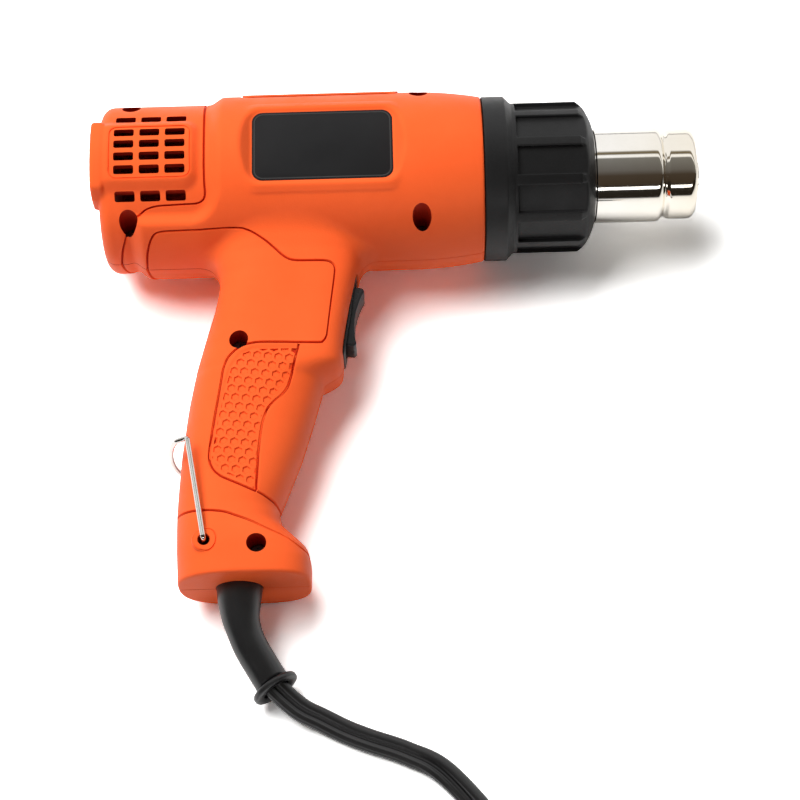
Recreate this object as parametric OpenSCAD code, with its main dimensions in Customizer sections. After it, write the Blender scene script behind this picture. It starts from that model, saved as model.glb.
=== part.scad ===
// Corded heat gun, lying on its left side: +X is the way the air leaves,
// +Z is up off the table, millimetres. Every piece is drawn in the gun's own
// frame (x along the barrel, y up the barrel from the handle, z to the tool's
// right) and then laid on the table by lay().

/* [Barrel] */
// Radius of the barrel housing
body_r = 36; // [34:0.5:39]
// Length of the barrel housing behind its front edge
barrel_len = 152.5; // [148:0.5:165]
// Wall of the two housing halves
wall = 2.6; // [2:0.1:3.2]
// How much smaller the rear cap is in radius
cap_step = 3; // [2:0.25:4]
// Length of the rear cap from the barrel's rear face
cap_len = 42.5; // [40:0.5:50]
// Length of the front taper
taper_len = 29; // [22:1:36]
// Radius that the front taper loses
taper_drop = 2.7; // [1.5:0.1:4]
// Rounding of the rear edge
rear_round = 5; // [3:0.5:7]
// How far the rear pad stands out behind the barrel
pad_out = 2.5; // [2:0.5:6]
// Half height of the rear pad
pad_half = 15; // [14:0.5:17]
// Drop of the pad's middle below the barrel's axis
pad_drop = 1.7; // [0:0.1:2.5]
// How far the pad stands off the rear cap
pad_rise = 2.4; // [1.5:0.1:2.9]

/* [Air intake] */
// Length of one intake slot
slot_len = 7.9; // [6:0.1:9]
// Height of one intake slot
slot_h = 3.4; // [2.4:0.1:4]
// Distance between slot columns
slot_pitch = 10.05; // [9.6:0.05:11]
// Distance between the four rows on the pad
row_pitch = 5.35; // [5:0.05:6.2]
// Height of the outer rows off the pad's middle
outer_row = 16.7; // [16.5:0.1:18]

/* [Label recess] */
// Length of the recess floor
label_len = 56; // [46:1:60]
// Height of the recess floor
label_h = 31; // [26:1:33]
// Depth of the recess at its middle
label_deep = 4.6; // [2:0.1:5]
// Middle of the recess behind the front edge
label_x = 63.5; // [58:0.5:68]

/* [Handle] */
// Drop of the handle's base below the barrel's axis
handle_drop = 172; // [165:1:182]
// Thickness of the grip from side to side
grip_t = 36; // [32:0.5:40]
// Thickness of the base from side to side
base_t = 40; // [37:0.5:44]
// Depth of the grip, front to back, just above the base
neck_depth = 39; // [35:0.5:44]
// Depth of the base, front to back
base_depth = 51; // [47:0.5:56]
// Back of the base behind the front edge of the housing
handle_back = 121.5; // [119:0.5:124]
// Drop of the switch's middle below the barrel's axis
switch_down = 62.5; // [60:0.5:65]

/* [Collar] */
// Length of the black front collar in front of the housing
collar_len = 45; // [42:0.5:52]
// Length of the plain band behind the ribs
band_len = 8; // [6:0.5:11]
// Radius over the ribs
rib_r = 30.4; // [29:0.1:31.5]
// Number of ribs
rib_count = 12; // [8:1:14]
// Width of the pocket between two ribs
pocket_w = 11.6; // [9:0.1:12.4]
// Depth of the pockets
pocket_deep = 1.5; // [0.8:0.1:2]
// Wall of the collar
collar_wall = 2.6; // [2.2:0.1:3.2]

/* [Nozzle and heater] */
// Radius of the steel nozzle
nozzle_r = 19; // [16:0.25:20]
// Length of the nozzle in front of the housing
nozzle_out = 86; // [80:1:96]
// Wall of the nozzle tube
nozzle_wall = 0.8; // [0.6:0.1:1.2]
// How far the nozzle tube reaches back into the housing
nozzle_in = 30; // [26:1:34]
// Radius of the clamped flange on the tube's rear end
flange_r = 24; // [22.5:0.5:25.5]
// Length of the narrower nozzle tip
tip_len = 13; // [10:0.5:16]
// Radius that the tip loses
tip_drop = 0.9; // [0.4:0.1:1.4]
// Wall of the mica sleeve
mica_wall = 0.6; // [0.4:0.1:1]
// Turns of the heating coil
coil_turns = 9; // [6:1:11]
// Radius of the heating wire
heat_wire_r = 0.7; // [0.5:0.05:0.9]

/* [Motor and fan] */
// Radius of the motor can
motor_r = 17.5; // [16:0.25:17.75]
// Length of the motor can
motor_len = 36; // [30:1:38]
// Front face of the motor behind the front edge of the housing
motor_x = 60; // [57:1:63]
// Radius of the motor shaft
shaft_r = 1.6; // [1.2:0.05:2]
// Radius of the fan over its blades
fan_r = 27; // [24:0.5:28]
// Axial length of the fan
fan_len = 10; // [7:0.5:11]
// Number of fan blades
blade_count = 9; // [5:1:11]

/* [Switch] */
// Length of the switch's flange
switch_len = 35; // [33:0.5:37]
// Width of the switch's flange
switch_w = 17; // [15.5:0.5:19]
// Length of the rocker
rocker_len = 26.6; // [24:0.2:28]
// Width of the rocker
rocker_w = 12; // [10.5:0.5:12.4]
// How far the rocker's ends stand out
rocker_out = 5.2; // [4:0.1:6]

/* [Stand wire] */
// Radius of the stand wire
wire_r = 1.15; // [0.9:0.05:1.3]
// Reach of the stand from its pivot to its cross wire
stand_reach = 41; // [36:0.5:46]
// How far the cross wire bows out behind the handle
stand_bow = 8; // [7:0.5:10]
// Height of the stand's pivot above the base
stand_up = 13.3; // [12.5:0.1:15]

/* [Screws] */
// Radius of the screw wells
well_r = 3.7; // [3.4:0.1:4]
// Radius of the screw heads
head_r = 3; // [2.6:0.1:3.2]
// Radius of the screw shanks
shank_r = 1.5; // [1.2:0.1:1.8]

/* [Cord] */
// Width of the flat twin cord
cord_w = 9.2; // [8:0.2:10]
// Thickness of the flat twin cord
cord_t = 4.6; // [4:0.1:5]
// Radius of the cord sleeve where it leaves the handle
sleeve_r = 8.75; // [8:0.25:10]
// Radius of the sleeve's narrow end
sleeve_tip_r = 6.5; // [6.2:0.1:7.5]
// Radius of the flange on the sleeve's end
sleeve_lip_r = 9.2; // [8.5:0.1:10]
// Outer radius of the coiled cord
hank_r = 55; // [52:1:60]
// Turns of the coiled cord in one layer
hank_turns = 2.25; // [1.25:1:2.25]
// Length of the plug's body
plug_len = 34; // [30:1:40]

/* [Hidden] */
$fn = 72;

orange = [0.93, 0.33, 0.06];
black = [0.12, 0.12, 0.13];
steel = [0.78, 0.77, 0.75];
brass = [0.8, 0.65, 0.3];
mica = [0.75, 0.7, 0.6];

// gaps between pieces that only lie against each other, and running fits
gap = 0.3;
run = 0.05;

front_r = body_r - taper_drop;
cap_r = body_r - cap_step;
cap_x = cap_len - barrel_len;
pad_x = -barrel_len - pad_out;
in_r = body_r - wall;
tip_x = nozzle_out;
dome_out = 2.5;
base_y = -handle_drop;

function unit(v) = v / norm(v);
function ease(t) = t * t * (3 - 2 * t);
function sgn(v) = v < 0 ? -1 : 1;

// the gun lies on its barrel and on the lower leg of the stand wire
stand_y = base_y + stand_up;
base_back = -handle_back;
stand_x = base_back + 11.5;
boss_face = base_t / 2 - 1;
leg_z = boss_face + gap + wire_r;
lay_tilt = asin(body_r / norm([stand_y, leg_z + wire_r])) - atan2(leg_z + wire_r, -stand_y);
mid_x = (tip_x + dome_out + pad_x) / 2;
mid_y = (body_r + base_y * cos(lay_tilt) - base_t / 2 * sin(lay_tilt)) / 2;
function laid(p) = [p[0] - mid_x, p[1] * cos(lay_tilt) - p[2] * sin(lay_tilt) - mid_y,
  p[1] * sin(lay_tilt) + p[2] * cos(lay_tilt) + body_r];
module lay() translate([-mid_x, -mid_y, body_r]) rotate([lay_tilt, 0, 0]) children();

// sends Z to X, X to Y and Y to Z, so a turned profile [r, x] lies along the barrel
module along_x() rotate([90, 0, 90]) children();
module turned(points, angle = 360) along_x() rotate_extrude(angle = angle) polygon(points);
module rod_x(r, x0, x1) translate([x0, 0, 0]) rotate([0, 90, 0]) cylinder(r = r, h = x1 - x0);
module rod_z(r, x, y, z0, z1) translate([x, y, z0]) cylinder(r = r, h = z1 - z0);
function corner(cx, cy, r, a0, a1, n) = [for (i = [0 : n]) let (a = a0 + (a1 - a0) * i / n)
  [cx + r * cos(a), cy + r * sin(a)]];
function round_box(w, h, r, n = 4) = concat(
  corner(w / 2 - r, h / 2 - r, r, 0, 90, n), corner(r - w / 2, h / 2 - r, r, 90, 180, n),
  corner(r - w / 2, r - h / 2, r, 180, 270, n), corner(w / 2 - r, r - h / 2, r, 270, 360, n));

// a tube or loft through a list of rings with the same number of points
module skin(rings) {
  n = len(rings[0]);
  m = len(rings);
  polyhedron(points = [for (r = rings) each r], faces = concat(
    [for (i = [0 : m - 2], j = [0 : n - 1]) [i * n + j, (i + 1) * n + j, (i + 1) * n + (j + 1) % n]],
    [for (i = [0 : m - 2], j = [0 : n - 1]) [i * n + j, (i + 1) * n + (j + 1) % n, i * n + (j + 1) % n]],
    [for (j = [1 : n - 2]) [0, j, j + 1]],
    [for (j = [1 : n - 2]) [(m - 1) * n, (m - 1) * n + j + 1, (m - 1) * n + j]]));
}
function heading(p) = [for (i = [0 : len(p) - 1])
  unit(p[min(i + 1, len(p) - 1)] - p[max(i - 1, 0)])];
function carried(t, n0) = [for (i = 0, n = unit(n0 - (n0 * t[0]) * t[0]); i < len(t); i = i + 1,
  n = i < len(t) ? unit(n - (n * t[i]) * t[i]) : n) n];
function round_rings(p, radii, n0, sides) = let (t = heading(p), u = carried(t, n0))
  [for (i = [0 : len(p) - 1]) let (v = cross(t[i], u[i])) [for (j = [0 : sides - 1])
    p[i] + radii[i] * (cos(360 * j / sides) * u[i] + sin(360 * j / sides) * v)]];
// a smooth line through hand-set points
function spline(p, per) = [for (i = [0 : len(p) - 2], k = [0 : (i == len(p) - 2 ? per : per - 1)])
  let (t = k / per, a = p[max(i - 1, 0)], b = p[i], c = p[i + 1], d = p[min(i + 2, len(p) - 1)])
  0.5 * ((2 * b) + (c - a) * t + (2 * a - 5 * b + 4 * c - d) * t * t
    + (3 * b - a - 3 * c + d) * t * t * t)];

// barrel outlines as [radius, x]
function taper_line(drop) = [for (i = [0 : 6]) let (t = i / 6)
  [body_r - drop - taper_drop * t * t, -taper_len + taper_len * t]];
function cap_line(drop) = concat([[0, -barrel_len + drop]],
  corner(cap_r - drop - (rear_round - drop), -barrel_len + rear_round, rear_round - drop, -90, 0, 6),
  [[cap_r - drop, cap_x + 1], [0, cap_x + 1]]);
step_run = 5;
function high_line(drop) = concat([[0, cap_x], [cap_r - drop, cap_x],
  [body_r - drop, cap_x + step_run]], taper_line(drop), [[0, 0]]);

// handle sections: [y, back x and front x from the base's back, half width,
// power of the back curve, power of the front curve]
grip_h = grip_t / 2;
base_h = base_t / 2;
neck_front = neck_depth;
base_front = base_depth;
neck_y = base_y + 29;
grip_top = base_y * 0.535;
function grip_y(f) = grip_top + (neck_y - grip_top) * f;
handle = [
  [-body_r + 13, 9.5, 77, grip_h + 7, 2.4, 2.4],
  [-body_r + 5, 12.1, 74.1, grip_h + 4.6, 2.5, 2.6],
  [-body_r - 2, 13.6, 71.9, grip_h + 2.2, 2.6, 3.2],
  [-body_r - 10, 15.5, 70.1, grip_h + 1, 2.7, 4],
  [base_y * 0.349, 13.4, 67.1, grip_h + 0.4, 2.7, 4.5],
  [base_y * 0.448, 8.6, 64.3, grip_h, 2.6, 4.5],
  [base_y * 0.488, 6.8, 63.9, grip_h, 2.6, 4],
  [base_y * 0.503, 6.2, 62, grip_h, 2.5, 3.4],
  [base_y * 0.5175, 5.7, 57.6, grip_h, 2.4, 2.8],
  [grip_top, 5.3, 55.7, grip_h, 2.4, 2.6],
  [grip_y(0.2), 3.8, 53.2, grip_h, 2.4, 2.4],
  [grip_y(0.55), 1.7, 47.9, grip_h, 2.4, 2.4],
  [grip_y(0.82), 0.6, neck_front + (47.9 - neck_front) * 0.4, grip_h, 2.4, 2.4],
  [neck_y, 0, neck_front, grip_h, 2.4, 2.4],
  [base_y + 23, 0, neck_front + 0.8, grip_h + (base_h - grip_h) * 0.3, 2.4, 2.4],
  [base_y + 18, 0, neck_front + (base_front - neck_front) * 0.4, grip_h + (base_h - grip_h) * 0.7, 2.5, 2.5],
  [base_y + 12, 0, base_front - 0.8, base_h, 2.6, 2.6],
  [base_y + 6, 0.2, base_front, base_h, 2.6, 2.6],
  [base_y + 1.2, 0.4, base_front - 0.3, base_h, 2.6, 2.6],
  [base_y, 1.4, base_front - 1.3, base_h - 1, 2.6, 2.6]];
function half_ring(s, inset, n, back) = let (c = base_back + (s[1] + s[2]) / 2, a = (s[2] - s[1]) / 2 - inset,
  b = s[3] - inset) concat(
  [for (i = [0 : n]) let (w = 180 * i / n, p = 2 / (cos(w) < 0 ? s[4] : s[5]))
    [c + a * sgn(cos(w)) * pow(abs(cos(w)), p), s[0], b * pow(max(sin(w), 0), p)]],
  back == 0 ? [] : [[c - a, s[0], -back], [c + a, s[0], -back]]);
module handle_half() skin([for (s = handle) half_ring(s, 0, 22, 0)]);
module handle_hollow() skin([for (i = [0 : len(handle) - 3]) let (s = handle[i],
  lift = i == len(handle) - 3 ? [base_y + wall, s[1], s[2], s[3], s[4], s[5]] : s)
  half_ring(lift, wall, 16, 1)]);

// the switch stands on the leaning front of the handle
switch_mid = [base_back + 66.5, -switch_down, 0];
switch_lean = 8.8;
module at_switch() translate(switch_mid) rotate([0, 0, -switch_lean]) children();
// the rocker's pivot lies this far under the flange
pivot_in = 5;
rock_room = 1.3;
open_len = 2 * norm([rocker_len / 2, pivot_in]) * cos(atan2(pivot_in, rocker_len / 2) - 10) + rock_room;
open_w = rocker_w + 2 * gap;
case_deep = 20;
case_wall = 1.2;
case_len = open_len + 2 * case_wall;
case_w = open_w + 2 * case_wall;
flange_t = 1.4;
seat = 0.4;

// screws: [x, y, drop of the well floor]
well_y = body_r - 8;
screw_at = [[-25, well_y], [-25, -well_y], [-barrel_len + 12, cap_r - 8], [-barrel_len + 12, -cap_r + 6.8],
  [base_back + 24.1, base_y * 0.4448], [base_back + 31.1, base_y + 11.2]];
head_t = 2;
well_floor = 6;
shank_len = 15;
boss_r = well_r + 1.6;

// behind the cap the pad goes on as a foot on each side, from this far out
foot_in = 16;
module pad_band() intersection() {
  turned(concat([[0, pad_x]], corner(cap_r + pad_rise - 4, pad_x + 4, 4, -90, 0, 5),
    [[cap_r + pad_rise, cap_x - 5], [cap_r, cap_x - 2], [0, cap_x - 2]]), 180);
  translate([pad_x - 1, -pad_drop, 0]) along_x() linear_extrude(cap_x - pad_x + 2)
    polygon([[-pad_half - 1.6, foot_in], [-pad_half - 1.6, cap_r - pad_rise - 6], [-pad_half + 1.4, cap_r + 1],
      [pad_half - 1.4, cap_r + 1], [pad_half + 1.6, cap_r - pad_rise - 6], [pad_half + 1.6, foot_in]]);
}
// the lower rear quarter stays at the full barrel radius
module rear_flank() intersection() {
  turned([[0, -barrel_len + 12], [cap_r, -barrel_len + 12], [body_r + 0.6, -barrel_len + 16],
    [body_r + 0.6, cap_x + step_run + 1], [0, cap_x + step_run + 1]], 180);
  translate([-barrel_len, -body_r - 5, 0]) cube([barrel_len, body_r + 5 - 24, body_r + 5]);
}
// first slot ahead of the pad's rear face
slots_in = 9.5;
module slots() for (c = [0 : 2], k = [0 : 5]) {
  y = (k == 0 ? outer_row : k == 5 ? -outer_row : row_pitch * (2.5 - k)) - pad_drop;
  translate([pad_x + slots_in + slot_pitch * c + slot_len / 2, y, cap_r / 2 + 4]) linear_extrude(cap_r)
    polygon(round_box(slot_len, slot_h, 1.1, 2));
}
module seat_ring() turned([[in_r + 1, -nozzle_in - 4], [nozzle_r + 2.6, -nozzle_in - 4],
  [nozzle_r + 2.6, -nozzle_in + 5.5], [in_r + 1, -nozzle_in + 5.5]], 180);
module seat_groove() turned([[0, -nozzle_in - gap], [flange_r + gap, -nozzle_in - gap],
  [flange_r + gap, -nozzle_in + 1.5 + gap], [0, -nozzle_in + 1.5 + gap]]);
lip_in = front_r - wall - 3.4;
module lip_ring() turned([[front_r - 0.4, -6], [lip_in, -6], [lip_in, -3], [front_r - 0.4, -3]], 180);

// one half before its own holes; z from 0 up
module shell_half() {
  difference() {
    union() {
      turned(cap_line(0), 180);
      turned(high_line(0), 180);
      rear_flank();
      pad_band();
      handle_half();
      rod_z(4.3, stand_x, stand_y, 8, boss_face);
    }
    turned(concat([[0, -barrel_len + wall]], corner(cap_r - rear_round, -barrel_len + rear_round,
      rear_round - wall, -90, 0, 4), [[cap_r - wall, cap_x], [body_r - wall, cap_x + step_run]],
      taper_line(wall), [[front_r - wall, 1], [0, 1]]));
    handle_hollow();
    slots();
    // seat and window of the switch
    at_switch() {
      translate([-seat, -switch_len / 2 - 0.2, -switch_w / 2 - 0.2]) cube([30, switch_len + 0.4, switch_w + 0.4]);
      translate([-12, -case_len / 2 - 0.2, -case_w / 2 - 0.2]) cube([20, case_len + 0.4, case_w + 0.4]);
    }
    // way out for the cord sleeve
    translate([sleeve_x, base_y - 1, 0]) rotate([-90, 0, 0]) cylinder(r = sleeve_r + 0.2, h = wall + 2);
    rod_z(wire_r + run, stand_x, stand_y, 0, base_t);
  }
  lip_ring();
  difference() {
    seat_ring();
    seat_groove();
    rod_z(boss_r - 0.5, screw_at[0][0], screw_at[0][1], -1, body_r);
    rod_z(boss_r - 0.5, screw_at[1][0], screw_at[1][1], -1, body_r);
  }
}
sleeve_x = base_back + 23.5;

// reach of the wall over a screw, for the length of its post
function post_top(i) = i < 2 ? 20 : i < 4 ? 18 : i == 4 ? grip_h - 1.6 : base_h - 1.8;

module posts() for (i = [0 : 5]) intersection() {
  rod_z(i == 5 ? well_r + 1 : boss_r, screw_at[i][0], screw_at[i][1], gap / 2, body_r);
  bounds_half(i);
}
label_back = body_r - label_deep - 1.8;
module housing_right() lay() color(orange) difference() {
  union() {
    shell_half();
    posts();
    // backing of the label field
    intersection() {
      translate([-label_x - label_len / 2 - label_deep - 2, -label_h / 2 - 6, label_back])
        cube([label_len + 2 * label_deep + 4, label_h + 12, body_r]);
      turned([[0, -barrel_len], [body_r - 0.5, -barrel_len], [body_r - 0.5, -taper_len], [0, -taper_len]], 180);
    }
  }
  for (i = [0 : 5]) {
    rod_z(well_r, screw_at[i][0], screw_at[i][1], well_floor, body_r + 5);
    rod_z(shank_r + gap, screw_at[i][0], screw_at[i][1], -1, well_floor + 1);
  }
  label_pocket();
  cut_mid();
}
module cut_mid() translate([-2 * barrel_len, -2 * handle_drop, -body_r - 10])
  cube([4 * barrel_len, 4 * handle_drop, body_r + 10 + gap / 2]);
// keeps the screw posts inside the outside skin
module bounds_half(i) {
  if (i < 4) turned([[0, -barrel_len + 1], [i < 2 ? body_r - 1 : cap_r - 1, -barrel_len + 1],
    [i < 2 ? body_r - 1 : cap_r - 1, -2], [0, -2]]);
  else translate([screw_at[i][0] - 20, screw_at[i][1] - 20, 0]) cube([40, 40, post_top(i)]);
}
module label_pocket() translate([-label_x, 0, 0]) hull() {
  translate([0, 0, body_r - label_deep]) linear_extrude(0.01) polygon(round_box(label_len, label_h, 4.5));
  translate([0, 0, body_r + 0.4]) linear_extrude(0.01)
    polygon(round_box(label_len + 2 * label_deep, label_h + 8, 6.5));
}
module housing_left() lay() color(orange) mirror([0, 0, 1]) difference() {
  union() {
    shell_half();
    posts();
    for (s = [-1, 1]) rod_z(3, tail_x + s * clamp_half, clamp_y, cord_t / 2 + gap, base_h - 3);
  }
  for (i = [0 : 5]) rod_z(shank_r - 0.2 + gap, screw_at[i][0], screw_at[i][1], -1, shank_len);
  for (s = [-1, 1]) rod_z(shank_r + run, tail_x + s * clamp_half, clamp_y, -1, 12);
  cut_mid();
}
module housing_screws() lay() color(steel) for (s = screw_at) translate([s[0], s[1], 0]) difference() {
  union() {
    rod_z(head_r, 0, 0, well_floor, well_floor + head_t);
    rod_z(shank_r - 0.2, 0, 0, well_floor - shank_len, well_floor + 0.5);
  }
  for (a = [0, 90]) rotate([0, 0, a]) translate([-head_r * 0.62, -0.5, well_floor + head_t - 1.1])
    cube([head_r * 1.24, 1, 2]);
}

// black collar: a turned shell with pockets between its ribs, held by its flange
chamfer_x = 12.4;
nose_x = collar_len - 6.5;
nose_r = rib_r - 4.7;
module front_collar() lay() color(black) difference() {
  turned([[lip_in - gap, 0 + gap], [front_r, gap], [front_r, band_len], [rib_r + 0.2, band_len + 3],
    [rib_r - 0.6, band_len + 3.4], [rib_r - 0.6, band_len + 4.2], [rib_r, band_len + 4.6],
    [rib_r, nose_x], [nose_r + 1.6, nose_x + 3.4], [nose_r, nose_x + 4.9], [nozzle_r + 2.4, collar_len],
    [nozzle_r + 0.4, collar_len], [nozzle_r + 0.4, collar_len - 3], [rib_r - pocket_deep - collar_wall, nose_x - 1],
    [rib_r - pocket_deep - collar_wall, band_len], [lip_in - gap - collar_wall, band_len - 4],
    [lip_in - gap - collar_wall, -9], [front_r - wall - gap, -9], [front_r - wall - gap, -6 - gap],
    [lip_in - gap, -6 - gap]]);
  for (i = [0 : rib_count - 1]) rotate([(i + 0.5) * 360 / rib_count, 0, 0])
    translate([band_len + 6, -pocket_w / 2, rib_r * cos(180 / rib_count) - pocket_deep + 0.6])
      cube([nose_x - band_len - 8.4, pocket_w, 10]);
}

// nozzle tube with its flange, roll groove and narrower tip
// the tube is a little narrower behind the seat for slip-on nozzles
back_r = nozzle_r - 0.5;
groove_x = nozzle_out - tip_len;
tip_r = nozzle_r - tip_drop;
function tube_line(d) = [[nozzle_r - d, groove_x - 2], [nozzle_r - 1.6 - d, groove_x + 0.4],
  [tip_r - d, groove_x + 2.4], [tip_r - d, tip_x - 2.6], [tip_r - 0.8 - d, tip_x - 0.9], [tip_r - 2.2 - d, tip_x]];
module nozzle_tube() lay() color(steel) turned(concat(
  [[back_r - nozzle_wall, -nozzle_in], [flange_r, -nozzle_in], [flange_r, -nozzle_in + 1.5], [back_r, -nozzle_in + 1.5],
   [back_r, collar_len + 0.5], [nozzle_r, collar_len + 0.5]],
  tube_line(0), [for (i = [5 : -1 : 0]) tube_line(nozzle_wall)[i] - [0, i == 5 ? 0.02 : 0]],
  [[nozzle_r - nozzle_wall, collar_len + 1.3], [back_r - nozzle_wall, collar_len + 1.3]]));

// domed guard just inside the rolled lip
guard_r = tip_r - 2.2 - nozzle_wall - gap;
function dome(r, t) = [for (i = [0 : 8]) let (a = r * i / 8) [a, tip_x - 0.6 + (dome_out + 0.6) * (1 - pow(a / r, 2)) - t]];
module nozzle_guard() lay() color(steel) difference() {
  turned(concat(dome(guard_r, 0), [for (i = [8 : -1 : 0]) dome(guard_r, 0.8)[i]]));
  for (i = [0 : 7]) rotate([45 * i, 0, 0]) along_x() translate([0, 0, tip_x - 6])
    rotate_extrude(angle = 33) translate([guard_r - 4.4, 0]) square([2.6, 12]);
  for (i = [0 : 5]) rotate([60 * i, 0, 0]) translate([0, guard_r * 0.36, 0]) rod_x(guard_r * 0.13, tip_x - 6, tip_x + 6);
}

// heater: mica sleeve, star former with end discs, wound heating wire
mica_r = back_r - nozzle_wall - gap;
heat_x0 = -nozzle_in + 2;
heat_x1 = groove_x - 6;
star_r = mica_r - mica_wall - 2 * heat_wire_r - 1.6;
disc_r = mica_r - mica_wall - gap;
module mica_sleeve() lay() color(mica) difference() {
  rod_x(mica_r, heat_x0, heat_x1);
  rod_x(mica_r - mica_wall, heat_x0 - 1, heat_x1 + 1);
}
module heater_former() lay() color(mica) union() {
  for (i = [0 : 2]) rotate([60 * i, 0, 0]) translate([heat_x0 + 2, -star_r, -0.5])
    cube([heat_x1 - heat_x0 - 4, 2 * star_r, 1]);
  for (x = [heat_x0 + 4, heat_x1 - 6]) difference() {
    rod_x(disc_r, x, x + 2);
    for (i = [0 : 5]) rotate([60 * i + 30, 0, 0]) translate([0, star_r * 0.62, 0]) rod_x(star_r * 0.22, x - 1, x + 3);
  }
}
heat_pitch = (heat_x1 - heat_x0 - 24) / coil_turns;
wind_r = star_r + heat_wire_r + 0.2;
heat_path = [for (i = [0 : coil_turns * 12]) [heat_x0 + 12 + heat_pitch * i / 12, wind_r * cos(30 * i), wind_r * sin(30 * i)]];
module heater_coil() lay() color(steel)
  skin(round_rings(heat_path, [for (p = heat_path) heat_wire_r], [0, 1, 0], 6));
module thermal_cutout() lay() color(steel) translate([0, star_r * 0.55, 0.5 + gap + 2]) union() {
  rod_x(2, heat_x0 + 8, heat_x0 + 20);
  rod_x(0.6, heat_x0 + 6.4, heat_x0 + 21.6);
}

// motor in its spoked mount, with the fan behind it
motor_back = -motor_x - motor_len;
can_wall = 1.2;
mount_back = 12;
mount_t = 5;
spoke_t = 3;
mount_ring = 2.5;
mount_x = -motor_x - mount_back;
module motor_mount() lay() color(black) difference() {
  union() {
    difference() {
      rod_x(in_r - gap, mount_x, mount_x + mount_t);
      rod_x(in_r - gap - mount_ring, mount_x - mount_t, mount_x + 2 * mount_t);
    }
    difference() {
      rod_x(motor_r + gap + mount_ring, mount_x, mount_x + mount_t);
      rod_x(motor_r + 0.1, mount_x - mount_t, mount_x + 2 * mount_t);
    }
    for (a = [45 : 90 : 315]) rotate([a, 0, 0]) translate([mount_x, motor_r + gap + mount_ring / 2, -spoke_t / 2])
      cube([mount_t, in_r - gap - motor_r - gap - mount_ring, spoke_t]);
  }
  rod_x(motor_r + 0.1, mount_x - mount_t, mount_x + 2 * mount_t);
  translate([mount_x - mount_t, -body_r, label_back - gap]) cube([3 * mount_t, 2 * body_r, body_r]);
}
module motor_can() lay() color(steel) difference() {
  union() { rod_x(motor_r, motor_back, -motor_x); rod_x(6, motor_back - 2, motor_back + 1); }
  rod_x(motor_r - can_wall, motor_back + can_wall, -motor_x + 1);
  rod_x(shaft_r + 2.4, motor_back - 4, motor_back + 5);
}
bush_wall = 2.35;
bush_len = 5.2;
nose_out = 2;
bush_r = shaft_r + bush_wall;
module motor_bushes() lay() color(brass) difference() {
  union() {
    rod_x(bush_r, motor_back - nose_out, motor_back - nose_out + bush_len);
    rod_x(bush_r, -motor_x + nose_out - bush_len, -motor_x + nose_out);
  }
  rod_x(shaft_r + run, motor_back - 2 * nose_out, -motor_x + 2 * nose_out);
}
cap_t = 3;
cap_nose = 7;
brush_y = 11;
brush_w = 3;
brush_t = 0.8;
cap_face = -motor_x - cap_t;
module motor_end_cap() lay() color(black) union() {
  difference() {
    union() { rod_x(motor_r - can_wall - 0.1, cap_face, -motor_x); rod_x(cap_nose, -motor_x - cap_t / 2, -motor_x + nose_out); }
    rod_x(bush_r + 0.05, cap_face - cap_t, -motor_x + 2 * nose_out);
  }
  for (s = [-1, 1]) translate([-motor_x - cap_t / 2, s * brush_y - brush_t / 2, -brush_w / 2])
    cube([cap_t / 2 + brush_w, brush_t, brush_w]);
}
core_r = motor_r - can_wall - 4.2;
module motor_armature() lay() color(steel) difference() {
  union() { rod_x(core_r, motor_back + 6, cap_face - 9); rod_x(4.4, cap_face - 8.8, cap_face - 1); rod_x(3, cap_face - 10, cap_face - 8); }
  rod_x(shaft_r + run, motor_back, 0);
  for (i = [0 : 4]) rotate([72 * i, 0, 0]) translate([motor_back + 5, core_r * 0.55, -0.8]) cube([motor_len, core_r, 1.6]);
}
fan_x1 = motor_back - 3.5;
fan_x0 = fan_x1 - fan_len;
module motor_shaft() lay() color(steel) rod_x(shaft_r, fan_x0 + 1, -motor_x + nose_out + 1);
hub_r = 8;
module fan_impeller() lay() color(black) difference() {
  union() {
    rod_x(hub_r, fan_x0, fan_x1);
    intersection() {
      for (i = [0 : blade_count - 1]) rotate([360 / blade_count * i, 0, 0]) translate([(fan_x0 + fan_x1) / 2, hub_r - 1, 0])
        rotate([0, 35, 0]) translate([-fan_len, 0, -0.7]) cube([2 * fan_len, fan_r, 1.4]);
      rod_x(fan_r, fan_x0 + 0.6, fan_x1 - 0.6);
    }
  }
  rod_x(shaft_r + run, fan_x0 + 1, fan_x1 + 1);
}
board_t = 1.6;
diode_r = 1.8;
diode_len = 7;
diode_pitch = 6;
cap_can_r = 4;
cap_can_len = 9;
board_x = -motor_x + brush_w + 0.2;
module rectifier_board() lay() color([0.2, 0.35, 0.2]) union() {
  difference() { rod_x(motor_r - 2, board_x, board_x + board_t); rod_x(shaft_r + 2, board_x - board_t, board_x + 2 * board_t); }
  for (i = [0 : 3]) translate([board_x + board_t + diode_r - 0.2, diode_pitch * (i - 1.5), -diode_len - 1])
    cylinder(r = diode_r, h = diode_len);
  translate([board_x + board_t / 2, diode_len, 2 * cap_can_r]) rotate([0, 90, 0]) cylinder(r = cap_can_r, h = cap_can_len);
}

// rocker switch: case with flange, rocker on a pin, spade terminals
module switch_body() lay() at_switch() color(black) difference() {
  union() {
    translate([-seat + 0.1, -switch_len / 2, -switch_w / 2]) cube([flange_t, switch_len, switch_w]);
    translate([-case_deep, -case_len / 2, -case_w / 2]) cube([case_deep, case_len, case_w]);
  }
  translate([-case_deep + 3, -open_len / 2, -open_w / 2]) cube([case_deep + 5, open_len, open_w]);
  rod_z(1.2 + run, -pivot_in, 0, -case_w, case_w);
}
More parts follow.
